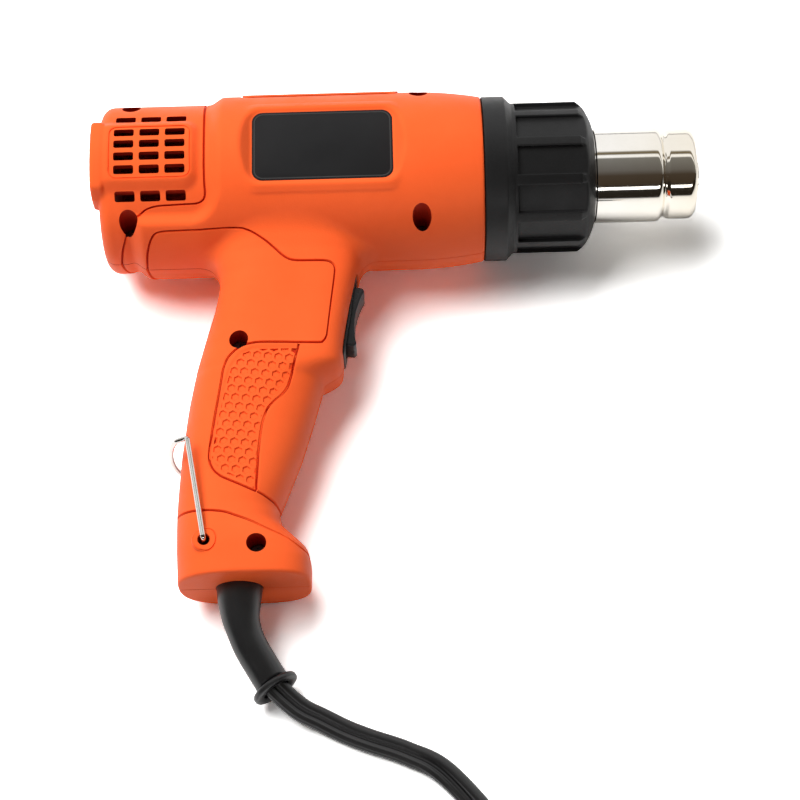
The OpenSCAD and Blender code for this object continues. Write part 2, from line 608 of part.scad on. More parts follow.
// dish in the rocker's face, through its two high ends
dish = rocker_out - 2.6;
dish_r = (pow(rocker_len / 2, 2) + dish * dish) / (2 * dish);
module switch_rocker() lay() at_switch() color(black) difference() {
  translate([0, 0, -rocker_w / 2]) linear_extrude(rocker_w) difference() {
    polygon([[rocker_out, -rocker_len / 2 + 0.8], [rocker_out - 0.8, -rocker_len / 2], [-0.5, -rocker_len / 2],
      [-pivot_in - 3.5, -rocker_len / 2 + 8.5], [-pivot_in - 3.5, rocker_len / 2 - 8.5],
      [-0.5, rocker_len / 2], [rocker_out - 0.8, rocker_len / 2], [rocker_out, rocker_len / 2 - 0.8]]);
    translate([rocker_out - dish + dish_r, 0]) circle(r = dish_r, $fn = 180);
  }
  rod_z(1.2 + run, -pivot_in, 0, -rocker_w, rocker_w);
}
module switch_pin() lay() at_switch() color(steel) rod_z(1.2, -pivot_in, 0, -case_w / 2, case_w / 2);
module switch_terminals() lay() at_switch() color(brass) for (s = [-1 : 1])
  translate([-case_deep - 8, s * 8 - 2.4, -0.4]) difference() {
    cube([8, 4.8, 0.8]);
    translate([2.6, 2.4, -1]) cylinder(r = 0.9, h = 3);
  }

// inner end of the cord and its clamp in the base
clamp_y = base_y + 27;
tail_x = screw_at[5][0] - well_r - 1 - 0.5 - cord_w / 2;
clamp_half = cord_w / 2 + 3.6;
tail_top = clamp_y + 12;
function flat_ring() = let (w = cord_w / 2, t = cord_t / 2)
  [[w, 0], [w * 0.74, t * 0.94], [w * 0.3, t * 0.94], [0, t * 0.66], [-w * 0.3, t * 0.94], [-w * 0.74, t * 0.94],
   [-w, 0], [-w * 0.74, -t * 0.94], [-w * 0.3, -t * 0.94], [0, -t * 0.66], [w * 0.3, -t * 0.94], [w * 0.74, -t * 0.94]];
sleeve_in = base_y + wall + 2.6;
module cord_tail() lay() color(black) translate([tail_x, sleeve_in, 0]) rotate([-90, 0, 0])
  linear_extrude(tail_top - sleeve_in) polygon(flat_ring());
module cord_clamp() lay() color(black) difference() {
  translate([tail_x - clamp_half - 3.4, clamp_y - 3.5, cord_t / 2 * 0.94 + 0.1]) cube([2 * clamp_half + 6.8, 7, 3.4]);
  for (s = [-1, 1]) rod_z(shank_r + 0.2, tail_x + s * clamp_half, clamp_y, -1, 20);
}
clamp_top = cord_t / 2 * 0.94 + 3.5;
module clamp_screws() lay() color(steel) for (s = [-1, 1]) union() {
  rod_z(2.6, tail_x + s * clamp_half, clamp_y, clamp_top, clamp_top + 1.6);
  rod_z(shank_r, tail_x + s * clamp_half, clamp_y, -9, clamp_top + 0.5);
}

// stand wire: two legs up the sides of the handle and a bowed cross wire
leg_dir = unit([-6.4, 40.6, 0]);
bow_dir = [-leg_dir[1], leg_dir[0], 0];
leg_at = [stand_x, stand_y, leg_z];
leg_top = leg_at + stand_reach * leg_dir;
bend = gap + wire_r - 0.1;
function bow_pt(a) = [leg_top[0], leg_top[1], 0] + stand_bow * pow(cos(a), 0.8) * bow_dir + [0, 0, leg_z * sin(a)];
half_wire = concat(
  [leg_at + [0, 0, -1.5 * wire_r - bend]],
  [for (a = [0 : 22.5 : 90]) leg_at + bend * (1 - cos(a)) * leg_dir + [0, 0, -bend * (1 - sin(a))]],
  [for (f = [0.3, 0.6, 0.85]) leg_at + f * stand_reach * leg_dir],
  [for (a = [0 : 30 : 60]) leg_top - bend * (1 - sin(a)) * leg_dir + bend * (1 - cos(a)) * 0.7 * (bow_dir - [0, 0, 1])],
  [for (a = [66 : -11 : 0]) bow_pt(a)]);
stand_path = concat(half_wire, [for (i = [len(half_wire) - 2 : -1 : 0]) [half_wire[i][0], half_wire[i][1], -half_wire[i][2]]]);
module stand_wire() lay() color(steel) union() {
  skin(round_rings(stand_path, [for (i = [0 : len(stand_path) - 1])
    wire_r * (i < 2 || i > len(stand_path) - 3 ? 0.85 : 1)], [1, 0, 0], 10));
  for (s = [-1, 1]) translate([stand_x, stand_y, s > 0 ? boss_face - 6 : -boss_face - 0.2]) cylinder(r = wire_r, h = 6.2);
}

// cord sleeve, free lead and hank, all in the table's frame
exit_at = laid([sleeve_x, base_y, 0]);
out_dir = [0, -cos(lay_tilt), -sin(lay_tilt)];
lip_z = sleeve_lip_r + 0.3;
sleeve_route = [for (r = [[0, -6, 0.06], [0.8, -13, 0.18], [3.6, -21, 0.4]])
  [exit_at[0] + r[0], exit_at[1] + r[1], exit_at[2] + (lip_z - exit_at[2]) * r[2]]];
bore_deep = 9;
bore_r = sleeve_tip_r - 1.3;
sleeve_tip = [exit_at[0] + 13.5, exit_at[1] - 37, lip_z];
sleeve_dir = unit([0.5, -0.78, -0.3]);
sleeve_bend = spline(concat([exit_at - 4 * out_dir, exit_at], sleeve_route, [sleeve_tip - bore_deep * sleeve_dir, sleeve_tip]), 4);
sleeve_line = [for (i = [4 : len(sleeve_bend) - 5]) sleeve_bend[i]];
sleeve_end = sleeve_tip;
// rings as [place, radius]: inner flange, taper along the line, end flange, bore
sleeve_places = concat([for (d = [2.6, gap, gap, 0.1]) exit_at - (wall + d) * out_dir], sleeve_line,
  [for (d = [2.6, 2.1, 0, 0, bore_deep]) sleeve_tip - d * sleeve_dir]);
sleeve_n = len(sleeve_line);
sleeve_radii = concat([sleeve_r + 2.2, sleeve_r + 2.2, sleeve_r, sleeve_r],
  [for (i = [0 : sleeve_n - 1]) sleeve_r + (sleeve_tip_r - sleeve_r) * ease(min(i / (sleeve_n - 8), 1))],
  [sleeve_tip_r, sleeve_lip_r, sleeve_lip_r, bore_r, bore_r]);
sleeve_heading = concat([for (i = [0 : 3]) out_dir], heading(sleeve_line), [for (i = [0 : 4]) sleeve_dir]);
sleeve_side = carried(sleeve_heading, [1, 0, 0]);
module cord_sleeve() color(black) skin([for (i = [0 : len(sleeve_places) - 1]) let (u = sleeve_side[i], v = cross(sleeve_heading[i], u))
  [for (j = [0 : 19]) sleeve_places[i] + sleeve_radii[i] * (cos(18 * j) * u + sin(18 * j) * v)]]);
// flat section carried along a line, turned by a given angle from flat to on edge
function flat_rings(p, turn) = let (t = heading(p)) [for (i = [0 : len(p) - 1])
  let (s = unit(cross([0, 0, 1], t[i])), u = cross(t[i], s), w = s * cos(turn[i]) + u * sin(turn[i]), h = cross(t[i], w))
  [for (q = flat_ring()) p[i] + q[0] * w + q[1] * h]];

tie_t = 1;
lift = tie_t + 0.4;
layer_z = [lift + cord_w / 2, lift + cord_w * 1.5 + 0.6];
hank_pitch = cord_t + 1;
hank_mid = [sleeve_end[0] + 60, sleeve_end[1] - 60 - hank_r, 0];
start_angle = 40;
hank_start = hank_mid + [hank_r * cos(start_angle), hank_r * sin(start_angle), layer_z[0]];
start_dir = [sin(start_angle), -cos(start_angle), 0];
flat_z = cord_t / 2 + 0.1;
lead_route = concat([sleeve_end - bore_deep * sleeve_dir, sleeve_end - 2 * sleeve_dir],
  [for (r = [[8, -6, 6], [16, -9.8, 3.8], [25, -14.3, flat_z + 0.1], [34, -18.2, flat_z], [48, -23.6, flat_z], [62, -32, flat_z]])
    [sleeve_end[0] + r[0], sleeve_end[1] + r[1], r[2]]],
  [hank_start - 30 * start_dir - [0, 0, layer_z[0] - flat_z - 0.8], hank_start - 12 * start_dir - [0, 0, 0.8], hank_start - 0.7 * start_dir]);
lead_bare = spline(lead_route, 4);
function lead_turn(i) = 90 * ease(max(0, min(1, (i - 24) / (len(lead_bare) - 27))));
// the section stands taller as it turns on edge, so its line rises off the table
lead_line = [for (i = [0 : len(lead_bare) - 1]) let (q = lead_bare[i])
  [q[0], q[1], max(q[2], flat_z + (cord_w - cord_t) / 2 * sin(lead_turn(i)))]];
module cord_lead() color(black) skin(flat_rings(lead_line, [for (i = [0 : len(lead_line) - 1]) lead_turn(i)]));

// two layers: spiral in, climb in the half turn where the spiral turns back, spiral out
per_turn = 24;
lay_steps = round(hank_turns * per_turn);
climb_steps = per_turn / 2;
hank_in = hank_r - hank_pitch * hank_turns;
function hank_rad(k) = k <= lay_steps ? hank_r - hank_pitch * k / per_turn
  : k < lay_steps + climb_steps ? hank_in - hank_pitch * 0.9 * sin(180 * (k - lay_steps) / climb_steps)
  : hank_in + hank_pitch * (k - lay_steps - climb_steps) / per_turn;
function hank_z(k) = layer_z[0] + (layer_z[1] - layer_z[0]) * ease(max(0, min(1, (k - lay_steps) / climb_steps)));
hank_steps = 2 * lay_steps + climb_steps;
function hank_pt(k) = let (a = start_angle - 360 * k / per_turn) hank_mid + [hank_rad(k) * cos(a), hank_rad(k) * sin(a), hank_z(k)];
hank_gap = min([for (k = [0 : hank_steps], m = [1 : 5]) if (k + m * per_turn <= hank_steps)
  let (j = k + m * per_turn) max(abs(hank_rad(j) - hank_rad(k)) - cord_t, abs(hank_z(j) - hank_z(k)) - cord_w)]);
end_angle = start_angle - 360 * hank_steps / per_turn;
end_dir = [sin(end_angle), -cos(end_angle), 0];
hank_end = hank_pt(hank_steps);
plug_dir = end_dir;
plug_z = 7.6;
plug_back = hank_end + 58 * end_dir + [0, 0, plug_z - hank_end[2]];
tail_line = spline([hank_pt(hank_steps - 1), hank_end, hank_end + 14 * end_dir - [0, 0, 1.2],
  hank_end + 30 * end_dir - [0, 0, (hank_end[2] - plug_z) * 0.55], plug_back - 10 * plug_dir, plug_back - 0.4 * plug_dir], 3);
hank_line = concat([for (k = [0 : hank_steps - 2]) hank_pt(k)], tail_line);
function hank_turn(i) = i <= hank_steps + 2 ? 90 : 90 * (1 - ease(min(1, (i - hank_steps - 2) / (len(hank_line) - hank_steps - 6))));
function line_len(p) = [for (i = 1, s = 0; i <= len(p); i = i + 1, s = s + (i <= len(p) - 1 ? norm(p[i] - p[i - 1]) : 0)) s][len(p) - 1];
echo(hank_least_gap = hank_gap, cord_length = line_len(lead_line) + line_len(hank_line), tilt = lay_tilt, mid = [mid_x, mid_y]);
module cord_hank() color(black) skin(flat_rings(hank_line, [for (i = [0 : len(hank_line) - 1]) hank_turn(i)]));
tie_at = 20;
tie_angle = start_angle - 360 * tie_at / per_turn;
tie_radii = [for (k = [tie_at : per_turn : hank_steps]) hank_rad(k)];
tie_w = max(tie_radii) - min(tie_radii) + cord_t + 1;
tie_h = layer_z[1] + cord_w / 2 + 0.3;
module cord_tie() color(black) translate(hank_mid) rotate([0, 0, tie_angle])
  translate([(max(tie_radii) + min(tie_radii)) / 2, 0, 0]) difference() {
    translate([-tie_w / 2 - tie_t, -3.5, 0.1]) cube([tie_w + 2 * tie_t, 7, tie_h + tie_t]);
    translate([-tie_w / 2, -5, 0.1 + tie_t]) cube([tie_w, 10, tie_h - tie_t]);
  }

// two-blade plug lying flat at the end of the cord
blade_gap = 12.7;
module at_plug() translate(plug_back) rotate([0, 0, atan2(plug_dir[1], plug_dir[0])]) children();
module plug_body() at_plug() color(black) difference() {
  union() {
    rotate([90, 0, 90]) translate([0, 0, plug_len - 16]) linear_extrude(16) polygon(round_box(26, 15, 3));
    hull() {
      rotate([90, 0, 90]) translate([0, 0, plug_len - 16]) linear_extrude(0.1) polygon(round_box(25, 14.4, 3));
      rotate([90, 0, 90]) linear_extrude(0.1) polygon(round_box(cord_w + 3.4, cord_t + 4, 3));
    }
  }
  for (s = [-1, 1]) translate([plug_len - 6, s * blade_gap / 2 - 0.85, -4.2]) cube([8, 1.7, 8.4]);
}
module plug_blades() at_plug() color(brass) for (s = [-1, 1]) let (h = s > 0 ? 7.9 : 6.3) difference() {
  translate([plug_len - 6, s * blade_gap / 2 - 0.75, -h / 2]) cube([22, 1.5, h]);
  translate([plug_len + 12, s * blade_gap / 2, 0]) rotate([90, 0, 0]) cylinder(r = 1.6, h = 4, center = true);
}

housing_right();
housing_left();
housing_screws();
front_collar();
nozzle_tube();
nozzle_guard();
mica_sleeve();
heater_former();
heater_coil();
thermal_cutout();
motor_mount();
motor_can();
motor_end_cap();
motor_bushes();
motor_armature();
motor_shaft();
fan_impeller();
rectifier_board();
switch_body();
switch_rocker();
switch_pin();
switch_terminals();
cord_clamp();
clamp_screws();
cord_tail();
stand_wire();
cord_sleeve();
cord_lead();
cord_hank();
cord_tie();
plug_body();
plug_blades();
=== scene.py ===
# %% [markdown]
# # A corded heat gun, dressed in Blender
# The gun lies on its left side on a white table. Its sizes come from a CAD
# model that shares this frame: metres, +X the way the hot air leaves, +Z up.
# Each lesson below takes one piece of the real tool, says what it is, and
# builds it from a formula, a curve or a cut, the way a model maker would.

# %% Open the frame
import math

import bmesh
import bpy
import numpy as np
from mathutils import Matrix, Vector


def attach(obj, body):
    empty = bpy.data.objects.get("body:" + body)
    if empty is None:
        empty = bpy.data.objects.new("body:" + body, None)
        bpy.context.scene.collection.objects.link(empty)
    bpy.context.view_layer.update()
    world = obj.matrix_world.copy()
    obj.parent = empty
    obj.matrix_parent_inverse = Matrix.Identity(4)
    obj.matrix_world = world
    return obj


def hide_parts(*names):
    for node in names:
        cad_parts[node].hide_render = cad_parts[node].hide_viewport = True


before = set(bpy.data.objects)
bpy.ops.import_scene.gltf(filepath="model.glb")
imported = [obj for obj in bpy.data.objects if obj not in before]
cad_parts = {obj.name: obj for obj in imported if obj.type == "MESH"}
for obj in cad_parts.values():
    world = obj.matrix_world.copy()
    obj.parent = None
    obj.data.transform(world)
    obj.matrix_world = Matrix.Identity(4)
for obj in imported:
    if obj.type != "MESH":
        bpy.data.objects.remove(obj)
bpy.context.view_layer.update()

# %% [markdown]
# ## Lying down
# It is easier to think of the gun upright, with its barrel along X and its
# grip hanging down -Y, than as it lies. So every shape here is measured in
# millimetres in that upright "gun" frame, and one turn and shift lays it on
# the table: the barrel rests on its side, and the lower leg of the wire stand
# carries the handle.

# %% From gun millimetres to table metres
BODY_R = 36.0
TILT = math.radians(5.23873)
MID_X, MID_Y = -33.25, -68.5538
TO_METRES = Matrix.Scale(0.001, 4)
LAY = TO_METRES @ Matrix.Translation((-MID_X, -MID_Y, BODY_R)) @ Matrix.Rotation(TILT, 4, "X")
QUARTER = math.pi / 2
LAY_NP = np.array(LAY)


def laid(points):
    """Gun millimetres to table metres, for one point or many."""
    p = np.atleast_2d(np.asarray(points, float))
    out = p @ LAY_NP[:3, :3].T + LAY_NP[:3, 3]
    return out[0] if np.ndim(points) == 1 else out


print("the muzzle is at", laid((88.5, 0, 0)).round(4))

# %% [markdown]
# ## Camera
# The picture is taken from the handle's side, about 61 degrees above the
# table, with a long lens that hardly bends the lines. The camera leans a
# little, so the barrel climbs to the right.

# %% Place the camera
LOOK_AT = Vector((-0.00244, -0.02771, 0.02717))
STANDS_AT = Vector((-0.00244, -0.43635, 0.78161))
camera = bpy.data.objects.new("camera", bpy.data.cameras.new("camera"))
bpy.context.collection.objects.link(camera)
view_axis = (STANDS_AT - LOOK_AT).normalized()
level_right = Vector((0, 0, 1)).cross(view_axis).normalized()
upright = view_axis.cross(level_right)
LEAN = math.radians(-1.6)
right = level_right * math.cos(LEAN) + upright * math.sin(LEAN)
up = upright * math.cos(LEAN) - level_right * math.sin(LEAN)
camera.matrix_world = Matrix(
    (
        (right.x, up.x, view_axis.x, STANDS_AT.x),
        (right.y, up.y, view_axis.y, STANDS_AT.y),
        (right.z, up.z, view_axis.z, STANDS_AT.z),
        (0, 0, 0, 1),
    )
)
camera.data.sensor_width = 36
camera.data.lens = 99
camera.data.clip_start = 0.01
bpy.context.scene.camera = camera
print("camera stands", round((STANDS_AT - LOOK_AT).length, 3), "m from the gun")

# %% [markdown]
# ## Small tools for making meshes
# A swept skin is a row of rings joined by quads: it makes wires, cords and
# sleeves. A lathe is the same thing with the rings turned round an axis.

# %% Mesh helpers
def link_new(name, data):
    """A new object in the scene."""
    obj = bpy.data.objects.new(name, data)
    bpy.context.collection.objects.link(obj)
    return obj


def raw_mesh(name, points, faces):
    """A new mesh from points and faces."""
    mesh = bpy.data.meshes.new(name)
    mesh.from_pydata([tuple(map(float, p)) for p in points], [], [tuple(map(int, f)) for f in faces])
    return mesh


def add_mesh(name, points, faces):
    """A new smooth object."""
    mesh = raw_mesh(name, points, faces)
    mesh.update()
    mesh.shade_smooth()
    return link_new(name, mesh)


def ring_faces(rings, sides, closed=False):
    """Quads between rings of the same size, and a cap on each open end."""
    faces = []
    for i in range(rings if closed else rings - 1):
        a, b = i * sides, ((i + 1) % rings) * sides
        for j in range(sides):
            k = (j + 1) % sides
            faces.append((a + j, a + k, b + k, b + j))
    if not closed:
        faces.append(tuple(range(sides - 1, -1, -1)))
        faces.append(tuple(range((rings - 1) * sides, rings * sides)))
    return faces


def smooth_line(points, per):
    """A Catmull-Rom line through given points."""
    p = np.asarray(points, float)
    out = []
    for i in range(len(p) - 1):
        a, b, c, d = p[max(i - 1, 0)], p[i], p[i + 1], p[min(i + 2, len(p) - 1)]
        for k in range(per + (i == len(p) - 2)):
            t = k / per
            square, cube = (2 * a - 5 * b + 4 * c - d) * t**2, (3 * b - a - 3 * c + d) * t**3
            out.append(0.5 * (2 * b + (c - a) * t + square + cube))
    return np.array(out)


def unit(v):
    """Rows of vectors, each made one long."""
    return v / np.linalg.norm(v, axis=-1, keepdims=True)


def full_turn(n):
    """n angles, evenly round a circle."""
    return np.linspace(0, 2 * np.pi, n, endpoint=False)


def headings(line):
    """Unit directions along a line."""
    return unit(np.gradient(line, axis=0))


def swept(line, u, v, section):
    """A copy of a flat section at each point of a line, spanned by u and v."""
    rings = line[:, None] + section[..., 0:1] * u[:, None] + section[..., 1:2] * v[:, None]
    return rings.reshape(-1, 3)


def carried_frame(t, side):
    """A side vector carried along a line with no needless twist."""
    u = np.zeros_like(t)
    n = np.asarray(side, float)
    for i in range(len(t)):
        n = unit(n - np.dot(n, t[i]) * t[i])
        u[i] = n
    return u, np.cross(t, u)


def tube(name, line, radii, t, sides):
    """A round wire or sleeve: a ring at each point, square to its heading."""
    a = full_turn(sides)
    section = radii[:, None, None] * np.column_stack([np.cos(a), np.sin(a)])
    points = swept(line, *carried_frame(t, (1, 0, 0)), section)
    return add_mesh(name, points, ring_faces(len(line), sides))


def ease(t):
    """A smooth step from 0 to 1."""
    t = np.clip(t, 0, 1)
    return t * t * (3 - 2 * t)


# %% [markdown]
# ## Cord
# The lead is a flat twin flex about 9 mm wide and 1.7 m long: two round lobes
# side by side, one smooth and one finely ribbed so that the cores can be told
# apart. It leaves the rubber sleeve, drops to the table and runs out of the
# picture. The rest is tied up in a hank of two layers with the plug beside it.
# A curve with a round bevel can't be flat, so the section is swept by hand and
# turned on edge where the hank begins.

# %% Lay out the cord's line
CORD_W, CORD_T = 9.2, 4.6
CORD_X, BASE_Y, TIP_Z = -98, -172, 9.5
exit_mm = laid((CORD_X, BASE_Y, 0)) * 1000
sleeve_tip = exit_mm + np.array((13.5, -37, 0))
sleeve_tip[2] = TIP_Z
sleeve_dir = unit(np.array((0.5, -0.78, -0.3)))
BORE_DEEP, HANK_R, START = 9.0, 55.0, math.radians(40)
hank_mid = np.array((sleeve_tip[0] + 60, sleeve_tip[1] - 60 - HANK_R, 0))
LAYER = (1.4 + CORD_W / 2, 1.4 + CORD_W * 1.5 + 0.6)
FLAT_Z = CORD_T / 2 + 0.1
LEAD_STEPS = ((8, -6, 6), (16, -9.8, 3.8), (25, -14.3, FLAT_Z + 0.1), (34, -18.2, FLAT_Z),
              (48, -23.6, FLAT_Z), (62, -32, FLAT_Z))
LEAD_FLAT, TAIL_EDGE = 48, 12  # points before the cord starts to turn
hank_dir = np.array((math.sin(START), -math.cos(START), 0))
hank_start = hank_mid + np.array((HANK_R * math.cos(START), HANK_R * math.sin(START), LAYER[0]))
lead_points = [sleeve_tip - BORE_DEEP * sleeve_dir, sleeve_tip - 2 * sleeve_dir]
for dx, dy, z in LEAD_STEPS:
    lead_points.append(np.array((sleeve_tip[0] + dx, sleeve_tip[1] + dy, z)))
lead_points += [
    hank_start - 30 * hank_dir - np.array((0, 0, LAYER[0] - FLAT_Z - 0.8)),
    hank_start - 12 * hank_dir - np.array((0, 0, 0.8)),
    hank_start,
]
lead_line = smooth_line(lead_points, 8)
lead_turn = 90 * ease((np.arange(len(lead_line)) - LEAD_FLAT) / (len(lead_line) - LEAD_FLAT - 6))
lift = FLAT_Z + (CORD_W - CORD_T) / 2 * np.sin(np.radians(lead_turn))
lead_line[:, 2] = np.maximum(lead_line[:, 2], lift)

PER_TURN, TURNS, PITCH, CLIMB = 24, 2.25, CORD_T + 1, 12
LAY_STEPS = round(PER_TURN * TURNS)
HANK_STEPS = 2 * LAY_STEPS + CLIMB
hank_in = HANK_R - PITCH * TURNS


def hank_point(k):
    """Spiral in, climb in the half turn where it turns back, spiral out."""
    if k <= LAY_STEPS:
        r = HANK_R - PITCH * k / PER_TURN
    elif k < LAY_STEPS + CLIMB:
        r = hank_in - PITCH * 0.9 * math.sin(math.pi * (k - LAY_STEPS) / CLIMB)
    else:
        r = hank_in + PITCH * (k - LAY_STEPS - CLIMB) / PER_TURN
    z = LAYER[0] + (LAYER[1] - LAYER[0]) * float(ease((k - LAY_STEPS) / CLIMB))
    a = START - 2 * math.pi * k / PER_TURN
    return hank_mid + np.array((r * math.cos(a), r * math.sin(a), z))


hank_line = [hank_point(k / 2) for k in range(2, 2 * HANK_STEPS - 3)]
hank_end = hank_point(HANK_STEPS)
PLUG_Z = 7.6
plug_back = hank_end + 58 * hank_dir
plug_back[2] = PLUG_Z
tail_points = [
    hank_point(HANK_STEPS - 1),
    hank_end,
    hank_end + 14 * hank_dir - np.array((0, 0, 1.2)),
    hank_end + 30 * hank_dir - np.array((0, 0, (hank_end[2] - PLUG_Z) * 0.55)),
    plug_back - 10 * hank_dir,
    plug_back,
]
tail_line = smooth_line(tail_points, 6)
tail_turn = 90 * (1 - ease((np.arange(len(tail_line)) - TAIL_EDGE) / (len(tail_line) - TAIL_EDGE - 8)))
cord_line = np.vstack([lead_line, hank_line, tail_line]) / 1000
cord_turn = np.concatenate([lead_turn, np.full(len(hank_line), 90.0), tail_turn])

# %% Sweep the flat section along it
def twin_section(lobe=18):
    """Two lobes with a waist; the second lobe carries small ribs."""
    pts = []
    r = CORD_T / 2
    c = CORD_W / 2 - r
    spread = math.radians(156)
    for i in range(lobe + 1):
        a = -spread + 2 * spread * i / lobe
        pts.append((c + r * math.cos(a), r * math.sin(a)))
    n = 2 * lobe
    for i in range(n + 1):
        a = math.pi - spread + 2 * spread * i / n
        rib = r - 0.22 * (0.5 - 0.5 * math.cos(2 * math.pi * i * 9 / n))
        pts.append((-c + rib * math.cos(a), rib * math.sin(a)))
    return np.array(pts) / 1000


section = twin_section()
t = headings(cord_line)
flat_side = unit(np.cross((0, 0, 1), t))
flat_up = np.cross(t, flat_side)
turn = np.radians(cord_turn)[:, None]
wide = flat_side * np.cos(turn) + flat_up * np.sin(turn)
thick = np.cross(t, wide)
points = swept(cord_line, wide, thick, section)
cord = add_mesh("power_cord", points, ring_faces(len(cord_line), len(section)))
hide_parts("cord_lead", "cord_hank")
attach(cord, "gun")
print("power_cord has", len(cord.data.polygons), "faces")

# %% [markdown]
# ## Housing: one formula for the whole skin
# The orange housing is two moulded nylon halves screwed together. Everything on
# it flows into everything else: the barrel into the handle, the rear cap into
# the barrel, the intake pad into the cap. Such blends are hard to model by
# hand and easy to write down: a formula that is negative inside the plastic
# and positive outside. Two shapes join softly with a smooth minimum, and a
# recess is cut softly with a smooth maximum.

# %% Soft joins
def soft_max(a, b, k):
    """The larger of two distances, with a rounded change over k."""
    h = np.maximum(k - np.abs(a - b), 0) / k
    return np.maximum(a, b) + h * h * k / 4


def soft_min(a, b, k):
    return -soft_max(-a, -b, k)


def round_corner(a, b, r):
    """The larger of two distances, round over r at the corner."""
    a, b = a + r, b + r
    return np.hypot(np.maximum(a, 0), np.maximum(b, 0)) + np.minimum(np.maximum(a, b), 0) - r


def round_box(x, y, half_x, half_y, r):
    """Distance to a rectangle with round corners."""
    return round_corner(np.abs(x) - half_x, np.abs(y) - half_y, r)


print("two planes 3 mm apart, joined over 6 mm:", soft_min(np.array([0.0]), np.array([3.0]), 6.0))

# %% [markdown]
# ## Barrel, rear cap and intake pad
# The barrel is a tube of 36 mm radius that narrows towards the collar, with a
# panel on top that stands half a millimetre proud. The rear cap is 3 mm smaller,
# and its edge turns a corner low on each side, so the radius is a function of
# both x and height. The pad over the intake slots is 2.4 mm of extra radius with
# sloping sides, and it goes on behind the cap as the foot that the gun can stand
# on, nozzle up.

# %% Barrel formula
CAP_EDGE, CAP_LOW, CAP_REAR = -110.3, -22.4, -142.0
REAR_X, PAD_X, PAD_Y, PAD_MID = -152.5, -155.0, -1.7, -131.5
CAP_R, CAP_CORNER, REAR_ROUND, FOOT_R = 33, 6, 5, 35.35


def barrel(x, y, z):
    """Distance to the barrel with its rear cap, pad and foot."""
    r = np.hypot(y, z)
    off_cap = np.minimum(round_corner(x - CAP_EDGE, CAP_LOW - y, CAP_CORNER), x - CAP_REAR)
    radius = CAP_R + (BODY_R - CAP_R) * ease((off_cap - 0.8) / 6.6)
    # a swell low on the side of the cap, and at its rear end
    radius += 1.0 * ease((-y - 22) / 9) * ease((x + 143) / 7) * ease((-x - 100) / 14)
    radius += 1.3 * ease((-y - 18) / 12) * ease((-x - 139) / 5)
    # the pad with its sloping sides, and the field of slots a little sunk in it
    pad_in = -round_box(x + 143, y - PAD_Y, 30.7, 15.2, 6)
    radius += 0.75 * soft_min(soft_max(pad_in, 0 * pad_in, 0.9), 3.2 + 0 * pad_in, 0.9)
    radius -= 0.3 * ease((0.4 - round_box(x - PAD_MID, y - PAD_Y, 16.2, 11.2, 3.5)) / 0.8)
    # the top panel, and the narrowing towards the collar
    radius += 0.6 * (y > 0) * ease((0.4 - round_box(x + 64.75, z, 31.75, 22.6, 5)) / 0.8)
    radius -= 2.7 * np.clip((x + 29) / 29, 0, 1) ** 2
    body = soft_max(round_corner(r - radius, REAR_X - x, REAR_ROUND), x, 0.8)
    # the foot behind the cap
    side = np.minimum(13.9 + 0.3 * (34 - np.abs(z)), 16.7)
    foot = soft_max(r - FOOT_R, np.abs(y - PAD_Y) - side, 1.2)
    foot = soft_max(foot, np.abs(x - PAD_X - 2.6) - 2.6, 1.4)
    foot = soft_max(foot, 16 - np.abs(z), 1.5)
    return soft_min(body, foot, 0.9)


at_label = [np.array([c]) for c in (-60.0, 0.0, BODY_R)]
print("radius at the label's height", round(BODY_R - float(barrel(*at_label)[0]), 2))

# %% [markdown]
# ## Handle
# The handle is a row of sections, each a stretched circle that is squarer in
# front, where the switch sits, than behind. Sections measured off the picture
# are blurred into each other a little, which is what a pattern maker's
# sandpaper would do.

# %% Handle formula
HANDLE = np.array(
    [  # y, back x, front x, half width, back power, front power
        (-10, -113, -43, 24.0, 2.4, 2.4),
        (-23, -112, -44.5, 23.6, 2.4, 2.4),
        (-31, -109.4, -47.4, 21.4, 2.5, 2.6),
        (-38, -107.9, -49.6, 19.6, 2.6, 3.2),
        (-46, -106.1, -51.2, 18.8, 2.7, 4.0),
        (-51, -106.4, -52.4, 18.6, 2.7, 4.3),
        (-60, -108.2, -54.4, 18.4, 2.7, 4.5),
        (-69, -110.7, -56, 18.2, 2.7, 4.5),
        (-77, -112.9, -57.2, 18.0, 2.6, 4.5),
        (-84.4, -114.8, -57.5, 18.0, 2.6, 4.0),
        (-86.4, -115.2, -59, 18.0, 2.5, 3.4),
        (-88.4, -115.6, -62.6, 18.0, 2.5, 3.0),
        (-90.2, -116.0, -65.2, 18.0, 2.4, 2.7),
        (-93, -116.5, -65.7, 18.0, 2.4, 2.5),
        (-98, -117.4, -67.1, 18.0, 2.4, 2.4),
        (-102.2, -118.0, -68.2, 18.0, 2.4, 2.4),
        (-120, -120.2, -73.6, 18.0, 2.4, 2.4),
        (-133.8, -121.2, -78.9, 18.0, 2.4, 2.4),
        (-143, -121.7, -82.6, 18.0, 2.4, 2.4),
        (-149, -121.8, -81.5, 18.6, 2.4, 2.4),
        (-154, -121.7, -76.6, 19.4, 2.5, 2.6),
        (-159, -121.6, -71.8, 20.0, 2.6, 2.9),
        (-164, -121.4, -70.7, 20.0, 2.6, 3.2),
        (-180, -120.8, -71.0, 20.0, 2.6, 3.2),
    ]
)
ROW_STEP, BLUR, REACH = 0.5, 0.8, 8
handle_y = np.arange(-178, -9.9, ROW_STEP)
blur = np.exp(-0.5 * (np.arange(-REACH, REACH + 1) * ROW_STEP / BLUR) ** 2)
handle_rows = []
for column in range(1, 6):
    row = np.interp(handle_y, HANDLE[::-1, 0], HANDLE[::-1, column])
    padded = np.concatenate([np.full(REACH, row[0]), row, np.full(REACH, row[-1])])
    handle_rows.append(np.convolve(padded, blur / blur.sum(), "valid"))


